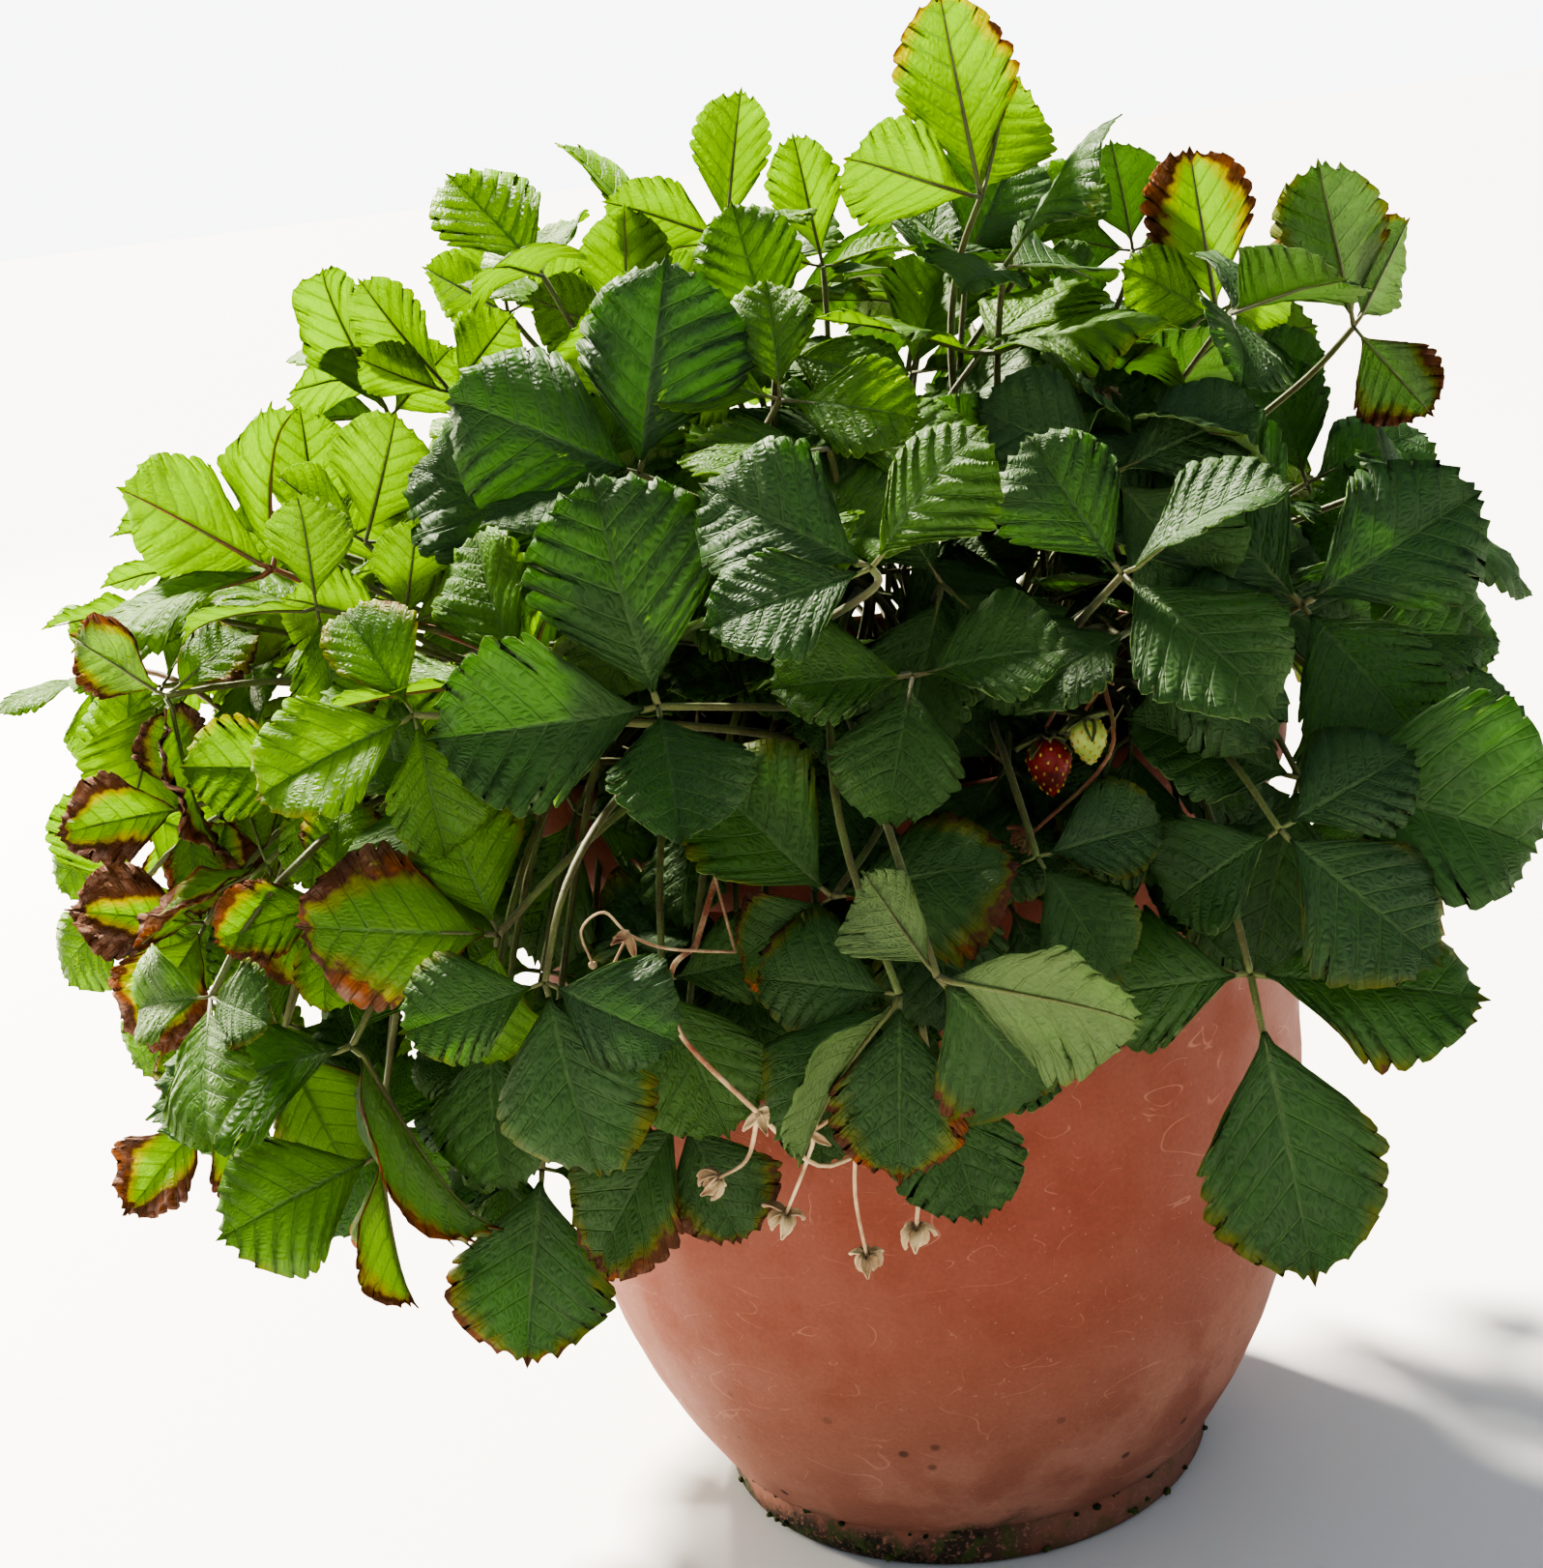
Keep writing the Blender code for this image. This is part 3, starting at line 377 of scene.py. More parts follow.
# name, hub, leaflets
framedLeaves = [leafRow(*row) for row in [
    ("front_1", (-60, -175, 330), (-9, -2, 0, "front", 58), (-2, 2, 9, "front", 62), (1, -7, -4, "up", 44)),
    ("front_2", (-55, -140, 385), (-8, -1, 5, "front", 56), (2, 2, 9, "front", 58), (-9, -4, 0, "up", 44)),
    ("front_3", (0, -200, 365), (-7, 3, 4, "front", 50), (6, -1, 8, "front", 42), (-9, -3, -1, "front", 42)),
    ("front_4", (65, -170, 350), (7, -1, 5, "upRight", 46), (-4, 2, 7, "front", 42),
     (5, -6, -4, "front", 54)),
    ("right_1", (120, -120, 325), (9, 2, 4, "front", 62), (-5, 3, 7, "front", 72), (4, -5, -5, "front", 50)),
    ("right_2", (110, -150, 285), (-3, -2, -8, "front", 54), (-8, -1, 4, "front", 48),
     (8, -3, -2, "front", 66)),
    ("low_1", (95, -170, 240), (1, -3, -9, "front", 70, 16), (-9, 2, -1, "front", 50),
     (9, -2, -1, "front", 60)),
    ("front_5", (-100, -165, 340), (-3, 4, 8, "upLeft", 46), (-9, -2, 1, "up", 56), (4, 0, 9, "left", 52)),
    ("top_1", (40, -60, 400), (6, 6, 4, "up", 50), (-8, -3, 4, "up", 50), (9, -2, 2, "up", 58)),
    ("top_2", (45, -50, 445), (-1, 1, 9, "back", 58), (-7, -4, 3, "back", 46), (3, 6, 7, "back", 46)),
    ("left_1", (-185, -60, 360), (-8, 3, 5, "back", 54), (0, 2, 9, "left", 48), (-9, -2, -1, "up", 64)),
    ("front_6", (-20, -190, 275), (-6, 1, 7, "front", 48), (9, -2, 2, "front", 48), (-7, 2, -4, "front", 34)),
    ("low_2", (-5, -200, 260), (-1, -3, -8, "front", 46), (-8, 3, 1, "front", 42), (-7, -3, -6, "left", 48)),
    ("low_3", (-95, -200, 270), (1, -3, -8, "front", 50), (-8, -3, -1, "front", 36),
     (7, -4, -3, "front", 36)),
    ("low_4", (-160, -165, 240), (-9, -3, 0, "frontLeft", 56), (4, -3, -8, "left", 64),
     (3, 3, 6, "front", 34)),
    ("left_2", (-110, -185, 275), (-9, -2, 2, "frontLeft", 52), (-3, 2, 9, "front", 40),
     (-4, 0, -9, "front", 40)),
    ("low_5", (-115, -150, 190), (-2, -3, -9, "front", 56), (7, 2, -3, "front", 40),
     (-8, 3, -1, "front", 36)),
    ("low_6", (-165, -140, 195), (-8, -3, -2, "front", 50), (0, -2, -9, "left", 44), (2, 5, 7, "front", 30)),
    ("low_7", (5, -225, 265), (9, -2, -2, "back", 50), (5, 2, -8, "front", 50), (-4, 5, 6, "back", 30)),
    ("top_3", (-70, -10, 412), (1, -1, 9, "back", 40), (-8, 3, 5, "back", 34), (8, 3, 3, "back", 30)),
    ("top_4", (-35, 0, 440), (2, -1, 9, "back", 44), (-8, -2, 4, "back", 38), (7, 5, 2, "up", 34)),
    ("top_5", (-5, 40, 425), (-1, -1, 9, "back", 42), (-8, 3, 3, "back", 30), (8, 3, 2, "up", 32)),
    ("top_6", (-120, 80, 420), (0, -1, 9, "back", 42), (-8, 4, 5, "back", 36), (8, 3, 4, "back", 34)),
    ("top_7", (-20, -90, 410), (-2, 0, 9, "front", 42), (8, -3, -2, "front", 38), (-7, 2, -1, "front", 36)),
    ("left_3", (-165, 60, 390), (-3, -1, 9, "backLeft", 58), (-8, 2, 1, "up", 36), (5, 6, 5, "back", 36)),
    ("left_4", (-135, 20, 400), (-5, -2, 8, "backLeft", 46), (-7, -5, 4, "back", 32), (5, 5, 5, "back", 34)),
    ("left_5", (-155, -60, 365), (4, -2, 8, "back", 42), (-6, 3, 5, "back", 34), (8, 2, -1, "front", 34)),
    ("front_7", (-75, -110, 365), (-8, 0, 5, "front", 56), (-7, -3, -3, "front", 44), (3, 2, 8, "front", 44)),
    ("left_6", (-125, -150, 335), (-8, -4, -2, "front", 44), (-4, 3, 7, "front", 34),
     (1, -3, -8, "front", 36)),
    ("left_7", (-165, -120, 310), (-8, -4, 2, "front", 38), (2, 0, 9, "front", 32),
     (-2, -3, -8, "front", 34)),
    ("left_8", (-190, -110, 280), (-8, -4, -2, "upLeft", 42), (-2, 3, 8, "back", 32),
     (2, -3, -8, "front", 36)),
    ("left_9", (-215, -100, 260), (-8, -3, 3, "front", 38), (-5, -4, -6, "front", 40),
     (2, 3, 8, "front", 30)),
    ("low_8", (-70, -165, 210), (-6, -2, -7, "front", 50), (3, -3, -9, "front", 40), (-7, 3, 2, "front", 36)),
    ("right_3", (145, -60, 300), (9, 1, -1, "front", 44), (2, 2, 8, "front", 36), (1, -2, -9, "front", 36)),
    ("right_4", (155, -80, 255), (7, -1, -7, "front", 46), (8, 2, 5, "front", 46), (-6, -2, -6, "front", 34)),
    ("right_5", (130, 60, 390), (-1, -1, 9, "back", 58), (-7, -3, 5, "front", 38), (7, 4, 3, "back", 36)),
    ("right_6", (160, -20, 390), (-1, 2, 9, "back", 50), (5, 5, 6, "back", 42), (5, -2, -7, "back", 34)),
    ("front_8", (35, -190, 280), (4, -3, -7, "front", 36), (9, 2, 1, "front", 34), (-6, 2, -2, "front", 30)),
    ("back_1", (140, 125, 375), (5, 5, -6, (6, 6, 3), 54), (6, -6, 1, (6, 6, 3), 46), (-6, 6, 2,
     (6, 6, 3), 46)),
    ("back_2", (50, 185, 390), (1, 5, -7, "behind", 56), (8, 0, 1, "behind", 48), (-8, 1, 1, "behind", 48)),
    ("back_3", (-70, 190, 385), (-2, 2, 8, "behind", 56), (8, 1, -2, "behind", 48), (-8, 1, 0, "behind", 48)),
    ("back_4", (-175, 140, 355), (-5, 4, -6, (-6, 6, 4), 54), (-5, -5, 3, (-6, 6, 4), 46), (6, 6, 3,
     (-6, 6, 4), 46)),
    ("back_5", (190, 70, 290), (5, 3, -8, (8, 4, 3), 56), (2, -8, 1, (8, 4, 3), 46), (-3, 8, 1,
     (8, 4, 3), 46)),
    ("back_6", (90, 205, 290), (2, 4, -8, "behind", 58), (8, -2, 1, "behind", 48), (-8, 3, 1, "behind", 48)),
    ("back_7", (-60, 215, 285), (-1, 4, -8, "behind", 58), (8, 1, 0, "behind", 48), (-8, 0, 1, "behind", 48)),
    ("back_8", (-190, 140, 270), (-4, 3, -8, (-6, 6, 3), 56), (-6, -6, 1, (-6, 6, 3), 46), (6, 6, 1,
     (-6, 6, 3), 46)),
]]

# name, thickness, line, branches, and the ends that carry a calyx
trusses = [
    ("dried_truss", 1.2,
     [(-59, -175, 262), (-64, -192, 263), (-65, -196, 254), (-63, -194, 242), (-47, -188, 217),
      (-33, -180, 196), (-16, -176, 197), (-7, -174, 184), (-8, -172, 170)],
     [[(-47, -188, 217), (-34, -184, 208), (-36, -181, 198), (-44, -178, 181)],
      [(-47, -188, 217), (-52, -184, 202), (-61, -184, 197)],
      [(-34, -184, 208), (-22, -179, 210), (-24, -176, 184), (-23, -172, 163)]],
     [(-8, -172, 170), (-44, -178, 181), (-61, -184, 197), (-24, -176, 184), (-23, -172, 163)]),
    ("dried_stalks", 1.0,
     [(-48, -180, 261), (-65, -191, 268), (-74, -196, 275), (-79, -200, 283), (-85, -204, 280),
      (-83, -206, 271)],
     [[(-74, -196, 275), (-80, -202, 265), (-79, -204, 253)]],
     [(-83, -206, 271), (-79, -204, 253)]),
    ("arched_stalk", 1.0,
     [(42, -60, 375), (53, -70, 391), (60, -75, 395), (68, -80, 393), (72, -84, 386)],
     [],
     [(72, -84, 386)]),
    ("top_stalk", 1.0,
     [(-2, -90, 378), (5, -95, 392), (12, -98, 395), (19, -100, 386)],
     [],
     [(19, -100, 386)]),
    ("right_stalk", 1.0, [(121, 40, 392), (139, 30, 399), (153, 20, 400)], [], []),
    ("fruit_truss", 1.2,
     [(58, -132, 322), (60, -146, 317), (54, -152, 310)],
     [[(58, -132, 322), (50, -140, 314), (43, -148, 305)],
      [(60, -146, 317), (58, -165, 300), (34, -161, 278)]],
     [(34, -161, 278)]),
]
berries = {"berry_green": ((54, -152, 301), 6, 14), "berry_red": ((43, -148, 294), 7.5, 18)}
runner = ("runner", [(-214, -30, 306), (-230, -20, 318), (-251, -4, 323), (-270, 0, 320)])
plantlet = [((-9, -3, 0), "up", 30), ((0, -4, -8), "front", 30), ((1, 3, 8), "back", 24)]


def outline(u):
    if u < growth["widest"]:
        return math.sin(math.pi / 2 * u / growth["widest"]) ** 1.15
    return math.sqrt(max(0.0, 1 - ((u - growth["widest"]) / (1 - growth["widest"])) ** 2.2))


def faceVector(face):
    return Vector(faces[face] if isinstance(face, str) else face)


def facing(ahead, up):
    return (up - ahead * up.dot(ahead)).normalized()


def leafletRows(hub, points, face, length, neck=growth["neck"]):
    # coarse rows of left edge, midrib and right edge, only for keeping leaflets apart
    ahead = unit(points)
    up = facing(ahead, faceVector(face))
    side = up.cross(ahead)
    droop = 0 if face == "back" else growth["droop"]
    steps = [0.3, 0.62, 0.86, 1] if length > 55 else [0.36, 0.72, 1] if length > 34 else [0.5, 1]
    rows = []
    for reach in (0.2, neck) if neck > growth["neck"] else (0.2,):
        spot = hub + ahead * reach
        rows.append([spot - side * growth["blade"], spot, spot + side * growth["blade"]])
    spot = hub + ahead * neck
    last = 0
    for u in steps:
        bend = -math.radians(droop) * ((u + last) / 2) ** 1.3
        way = ahead * math.cos(bend) + up * math.sin(bend)
        over = up * math.cos(bend) - ahead * math.sin(bend)
        spot = spot + way * length * (u - last)
        half = length * growth["width"] / 2 * (outline(u) if u < 1 else 0.15)
        across = side * half * math.cos(math.radians(growth["fold"]))
        rise = over * half * math.sin(math.radians(growth["fold"]))
        rows.append([spot - across + rise, spot, spot + across + rise])
        last = u
    return rows


def bezier(p0, p1, p2, p3, steps):
    curve = []
    for i in range(steps + 1):
        t = i / steps
        k = 1 - t
        curve.append(p0 * k ** 3 + p1 * 3 * k * k * t + p2 * 3 * k * t * t + p3 * t ** 3)
    return curve


class Room:
    # the space taken so far, as padded surfaces that nothing new may cross
    def __init__(self):
        self.taken = []

    @staticmethod
    def shell(verts, polygons):
        tree = BVHTree.FromPolygons(verts, polygons)
        low = [min(v[k] for v in verts) for k in range(3)]
        high = [max(v[k] for v in verts) for k in range(3)]
        return tree, low, high

    def free(self, shells, skip=None):
        for tree, low, high in shells:
            for owner, other, otherLow, otherHigh in self.taken:
                if owner == skip:
                    continue
                if any(low[k] > otherHigh[k] or high[k] < otherLow[k] for k in range(3)):
                    continue
                if tree.overlap(other):
                    return False
        return True

    def take(self, owner, shells):
        self.taken.extend((owner, *shell) for shell in shells)


def paddedSheet(rows):
    half = growth["blade"] / 2 + growth["gap"]
    verts = []
    for sign in (half, -half):
        for i, row in enumerate(rows):
            near = rows[min(i + 1, len(rows) - 1)][1] - rows[max(i - 1, 0)][1]
            over = (row[2] - row[0]).cross(near).normalized()
            edge = (row[2] - row[0]).normalized() * growth["gap"]
            verts += [row[0] - edge + over * sign, row[1] + over * sign, row[2] + edge + over * sign]
    n = len(rows)
    polygons = []
    for i in range(n - 1):
        for j in range(2):
            a = i * 3 + j
            polygons.append((a, a + 1, a + 4, a + 3))
            polygons.append((a + 3 * n, a + 3 + 3 * n, a + 4 + 3 * n, a + 1 + 3 * n))
        for j in (0, 2):
            a = i * 3 + j
            polygons.append((a, a + 3, a + 3 + 3 * n, a + 3 * n))
    return Room.shell([tuple(v) for v in verts], polygons)


def paddedTube(path, radius):
    verts = []
    for i, spot in enumerate(path):
        way = (path[min(i + 1, len(path) - 1)] - path[max(i - 1, 0)]).normalized()
        side = way.orthogonal().normalized()
        over = way.cross(side)
        verts += [spot + (side * c + over * s) * radius for c, s in ((1, 1), (-1, 1), (-1, -1), (1, -1))]
    polygons = [(0, 1, 2, 3), tuple(len(verts) - k for k in (1, 2, 3, 4))]
    for i in range(len(path) - 1):
        for j in range(4):
            a, b = i * 4 + j, i * 4 + (j + 1) % 4
            polygons.append((a, b, b + 4, a + 4))
    return Room.shell([tuple(v) for v in verts], polygons)


def paddedLathe(profile, centre=(0, 0), steps=24):
    verts = []
    for r, z in profile:
        for k in range(steps):
            turn = math.tau * k / steps
            verts.append((centre[0] + r * math.cos(turn), centre[1] + r * math.sin(turn), z))
    polygons = []
    for i in range(len(profile) - 1):
        for k in range(steps):
            n = (k + 1) % steps
            polygons.append((i * steps + k, i * steps + n, (i + 1) * steps + n, (i + 1) * steps + k))
    return Room.shell(verts, polygons)


def potRadius(z):
    if z < pot["bellyHeight"]:
        fall = (pot["bellyHeight"] - z) / (pot["bellyHeight"] - pot["grooveHeight"])
        return pot["bellyRadius"] - (pot["bellyRadius"] - pot["grooveRadius"]) * fall ** 2.6
    rise = (z - pot["bellyHeight"]) / (pot["neckHeight"] - pot["bellyHeight"])
    return pot["bellyRadius"] - (pot["bellyRadius"] - pot["neckRadius"]) * rise ** 2


def soilTop(radius):
    return soil["edge"] + soil["rise"] * (1 - (radius / pot["neckRadius"]) ** 2)


def insideRadius(z):
    return potRadius(z) - pot["wall"]


def lipLine(steps):
    # the rolled rim, from its inside over the top to its outside
    middle, half = (pot["height"] + pot["neckHeight"]) / 2, (pot["height"] - pot["neckHeight"]) / 2
    turns = [math.radians(110 - 200 * i / steps) for i in range(steps + 1)]
    return [(pot["neckRadius"] + 1 + pot["lip"] * math.cos(t), middle + half * math.sin(t)) for t in turns]


def coarsePot():
    heights = (25, 38, 55, 80, 115, 165, 210, 250)
    start, floor, foot = pot["wallStart"], pot["floor"], pot["footRadius"]
    inside = [(0, floor), (potRadius(start) - 10, floor), (insideRadius(20), 16)]
    inside += [(insideRadius(z), z) for z in heights]
    outside = [(potRadius(z), z) for z in (*reversed(heights), start)]
    return inside + lipLine(6) + outside + [(foot - 0.5, 13.5), (foot, 11), (foot, 2), (foot - 2, 0), (0, 0)]


def coarseCrown():
    radius, height = crownSize["radius"], crownSize["height"]
    return [(0, height), (radius * 0.5, height - 2), (radius * 0.75, height * 0.7), (radius, height * 0.3),
            (radius, 0), (0, 0)]


def coarseCalyx():
    return [(0, 1.5), (2.2, 1), (5.5, -3.5), (0, -2.2)]


def coarseBerry(wide, tall):
    half = tall / 2
    return [(0, half), (0.7 * wide, 0.85 * half), (wide, 0.35 * half), (0.8 * wide, -0.3 * half),
            (0.4 * wide, -0.8 * half), (0, -half)]


def takeTrusses(room):
    gap = growth["gap"]

    def takeRound(name, spot, profile):
        room.take(name, [paddedLathe([(r + gap, z + spot[2]) for r, z in profile], spot, 8)])

    for name, thick, path, branches, calyces in trusses:
        for line in [path] + branches:
            room.take(name, [paddedTube([Vector(p) for p in line], thick + gap)])
        for spot in calyces:
            takeRound(name, spot, coarseCalyx())
    for name, (spot, wide, tall) in berries.items():
        takeRound(name, spot, coarseBerry(wide, tall))
    name, path = runner
    room.take(name, [paddedTube([Vector(p) for p in path], growth["stalk"] + gap)])
    room.take(name, [paddedSheet(leafletRows(Vector(path[-1]), *leaflet)) for leaflet in plantlet])


def shifts(reach=4):
    # small moves, nearest first; in or out of the canopy counts less than sideways
    steps = range(-reach, reach + 1)
    moves = [Vector((x, y, z)) * 6 for x in steps for y in steps for z in steps]
    return sorted(moves, key=lambda m: (m.x ** 2 + m.z ** 2 + (m.y / 1.6) ** 2, m.x, m.y, m.z))


def arrival(base, end, ahead):
    return (unit(ahead) * 0.5 + (end - base).normalized()).normalized()


def seatBlades(room, rows, moves):
    hubs = {}
    for name, hub, *leaflets in rows:
        for move in moves:
            spot = Vector(hub) + move
            way = arrival(Vector((spot.x * 0.2, spot.y * 0.2, soil["edge"])), spot, leaflets[0][0])
            shells = [paddedSheet(leafletRows(spot, *leaflet)) for leaflet in leaflets]
            shells.append(paddedTube([spot - way * 16, spot], growth["knuckle"] * 0.75 + growth["gap"]))
            if room.free(shells):
                hubs[name] = spot
                room.take(name, shells)
                break
    return hubs


def crownSpot(crown, turn, gap):
    spread = crownSize["radius"] + growth["stalk"] + gap
    x = crowns[crown][0] + spread * math.cos(turn)
    y = crowns[crown][1] + spread * math.sin(turn)
    return Vector((x, y, soilTop(math.hypot(x, y)) + 2))


def stalkBases(ends):
    groups = {name: [] for name in crowns}
    for name, end in ends.items():
        nearest = min(crowns, key=lambda c: math.hypot(end.x - 2 * crowns[c][0], end.y - 2 * crowns[c][1]))
        groups[nearest].append((math.atan2(end.y - crowns[nearest][1], end.x - crowns[nearest][0]), name))
    bases = {}
    for crown, members in groups.items():
        for i, (_, name) in enumerate(sorted(members)):
            bases[name] = crownSpot(crown, math.tau * i / len(members) - math.pi + 0.2, 2 + (i % 2) * 5)
    return bases


def stalkRoutes(base, end, ahead):
    out = Vector((end.x - base.x, end.y - base.y, 0))
    far = out.length
    out = out / max(far, 1)
    side = Vector((-out.y, out.x, 0))
    arrive = arrival(base, end, ahead)
    outside = math.hypot(end.x, end.y) > pot["neckRadius"] - 15
    over = max(0.0, pot["height"] + 25 - end.z) if outside else 0.0
    for lift in (0, 20, 45, -20, 70, 95):
        for swing in (0, 14, -14, 30, -30, 48, -48, 70, -70):
            for back in (34, 55, 16, 80):
                for lean in (1, 0.2, -0.6):
                    rise = 0.55 * (end.z - base.z) + 1.5 * over + lift
                    p1 = base + Vector((0, 0, max(rise, 25))) + out * 0.12 * far + side * swing
                    p2 = end - arrive * back + Vector((0, 0, 1.1 * over + 0.5 * lift)) + side * swing * lean
                    yield bezier(base, p1, p2, end, 7)


def firstFree(room, name, choices):
    for path in choices:
        shell = paddedTube(path, growth["stalk"] + growth["gap"])
        if room.free([shell], skip=name):
            room.take(name, [shell])
            return path
    return []


def routeStalks(room, ends, heads, bases, tries=10, most=None):
    spares = [crownSpot(crown, math.tau * i / 12, 12) for crown in crowns for i in range(12)]
    paths = {}
    for name, end in ends.items():
        starts = [bases[name]] + sorted(spares, key=lambda spot: (spot - bases[name]).length)[:tries]
        paths[name] = firstFree(room, name, (
            path for start in starts for path in islice(stalkRoutes(start, end, heads[name]), most)))
    return paths


def growFramed():
    room = Room()
    room.take("pot", [paddedLathe(coarsePot())])
    for name, (x, y) in crowns.items():
        seat = soilTop(math.hypot(x, y)) + 0.4
        room.take(name, [paddedLathe([(r, z + seat) for r, z in coarseCrown()], (x, y), 12)])
    takeTrusses(room)
    hubs = seatBlades(room, framedLeaves, shifts())
    ends = {}
    heads = {name: leaflets[0][0] for name, _, *leaflets in framedLeaves}
    for name, path in [(truss[0], truss[2]) for truss in trusses] + [runner]:
        ends[name] = Vector(path[0])
        heads[name] = Vector(path[1]) - Vector(path[0])
    ends.update(sorted(hubs.items(), key=lambda item: item[1].z))
    return room, hubs, routeStalks(room, ends, heads, stalkBases(ends))


room, hubs, routes = growFramed()
print("framed leaves placed:", len(hubs))

# leaves between and behind the framed ones: hub, leaflets
moreLeaves = [leafRow(f"more_{i}", *row) for i, row in enumerate([
    ((-85, 20, 415), (-8, 1, 5, "up", 52), (-2, 8, 4, "up", 40), (2, -7, 1, "up", 30)),
    ((-180, -20, 358), (1, 0, 9, "back", 44), (-7, 4, 2, "back", 34), (7, 4, 2, "back", 34)),
    ((-140, -110, 350), (3, -2, 8, "back", 32), (-7, -3, 4, "back", 34), (8, -1, 3, "back", 30)),
    ((105, -165, 280), (6, -3, -6, "front", 52), (8, 2, 3, "front", 40), (-7, 3, -5, "front", 40)),
    ((-125, -180, 245), (-1, -4, -8, "frontLeft", 46), (7, 1, -4, "front", 34), (-6, 1, 5, "front", 30)),
    ((-70, -175, 245), (3, -4, -8, "front", 44), (-5, -2, -7, "front", 40), (8, 0, 1, "front", 34)),
    ((-205, -90, 340), (1, -3, -9, "left", 48), (-6, 3, 4, "back", 34), (6, 2, 4, "front", 30)),
    ((-160, -110, 350), (-8, -4, 2, "upLeft", 38), (0, 2, 9, "back", 30), (1, -4, -8, "front", 32)),
    ((105, 80, 415), (-1, -1, 9, "back", 36), (-7, 4, 2, "back", 30), (7, 4, 2, "back", 30)),
    ((130, 60, 365), (8, -3, 2, "front", 36), (-3, 2, 8, "front", 32), (1, -3, -8, "front", 32)),
    ((65, 40, 420), (5, 2, 6, "front", 36), (-6, 3, 6, "front", 30), (7, 3, -2, "front", 30)),
    ((-230, -50, 325), (-3, -3, -8, "back", 42), (-8, 2, 2, "up", 30), (4, 3, 7, "up", 30)),
    ((-215, -90, 290), (-8, -5, 1, "front", 36), (-2, 3, 8, "front", 30), (0, -3, -8, "front", 30)),
    ((-220, -120, 205), (-6, -4, -5, "front", 34), (4, -2, -8, "front", 30), (-4, 4, 7, "front", 26)),
    ((65, -60, 350), (1, -2, 9, "front", 42), (-7, 3, 3, "front", 34), (8, 3, 2, "front", 34)),
    ((25, -130, 340), (6, -4, -6, "front", 46), (-3, -4, -8, "front", 48), (-4, 4, 8, "front", 34)),
    ((-20, -120, 400), (8, -4, -1, "front", 38), (-8, 2, 3, "front", 36), (0, 4, 8, "front", 34)),
    ((-60, -110, 340), (7, -4, -4, "front", 42), (-5, -3, -8, "front", 40), (6, 3, 7, "front", 34)),
    ((-160, -150, 280), (-8, -5, 0, "front", 32), (-2, -3, -8, "front", 28), (1, 3, 8, "front", 28)),
    ((5, -100, 350), (4, -3, -8, "front", 46), (-7, -2, 4, "front", 44), (6, -1, 6, "front", 44)),
    ((70, -105, 368), (5, -3, -7, "front", 44), (-7, -1, 5, "front", 40), (8, -1, 3, "front", 42)),
    ((165, -10, 300), (8, 1, -3, "front", 46), (-1, 0, 9, "front", 42), (3, -2, -8, "front", 44)),
    ((150, 20, 335), (8, 2, 3, "front", 46), (-2, 1, 9, "front", 42), (3, -2, -8, "front", 42)),
    ((140, -45, 280), (2, -2, -8, "front", 46), (-5, 0, 7, "front", 40), (8, 0, 2, "front", 42)),
    ((-200, -95, 218), (-7, -3, -5, "front", 44), (3, -3, -8, "front", 44), (-2, 2, 8, "front", 38)),
    ((-175, -85, 185), (-6, -2, -7, "front", 42), (5, -3, -7, "front", 40), (-3, 2, 8, "front", 36)),
    ((-10, -150, 300), (-2, -3, -8, "front", 48), (8, 0, -2, "front", 42), (-7, 0, 3, "front", 44)),
    ((28, -145, 255), (3, -3, -8, "front", 42), (8, 0, 2, "front", 38), (-8, 0, 0, "front", 38)),
    ((-70, -150, 300), (-2, -3, -8, "front", 46), (8, 0, 1, "front", 42), (-8, 0, 2, "front", 42)),
    ((-140, -100, 300), (-6, -2, -7, "front", 46), (6, -2, -5, "front", 42), (0, 0, 9, "front", 42)),
], 1)]

# leaves deep in the canopy, in front of the pot's rim and behind the stalks
deepLeaves = [leafRow(f"deep_{i}", *row) for i, row in enumerate([
    ((0, 38, 312), (0, 0, 9, "front", 46), (-8, 0, -2, "front", 46), (8, 0, -2, "front", 46)),
    ((68, -130, 295), (-8, -1, -4, "front", 42), (-1, -2, -8, "front", 42), (7, 0, -4, "front", 40)),
    ((32, -136, 292), (-5, -1, -6, "front", 36), (6, -1, -5, "front", 36), (-6, 1, 6, "front", 30)),
    ((-95, -112, 286), (-4, -1, -8, "front", 48), (8, -1, -4, "front", 44), (-3, 1, 8, "front", 42)),
    ((-98, -126, 254), (-3, -1, -8, "front", 46), (8, 0, -2, "front", 44), (-8, 0, 2, "front", 42)),
    ((88, 20, 292), (-4, 0, 8, "front", 44), (-8, 0, -3, "front", 44), (5, 0, -7, "front", 44)),
    ((-112, 20, 290), (2, 0, 8, "front", 44), (8, 0, -3, "front", 44), (-5, 0, -7, "front", 44)),
    ((-244, -50, 297), (1, 0, 9, "front", 40), (-7, 0, -5, "front", 38), (8, 0, -5, "front", 40)),
    ((-246, -60, 258), (-2, 0, 9, "front", 38), (-7, 0, -5, "front", 36), (7, 0, -6, "front", 40)),
    ((-236, -60, 226), (-3, 0, 9, "front", 38), (-7, 0, -5, "front", 36), (6, 0, -6, "front", 38)),
    ((-206, -66, 212), (-2, 0, 9, "front", 40), (-6, 0, -6, "front", 40), (7, 0, -4, "front", 40)),
], 1)]

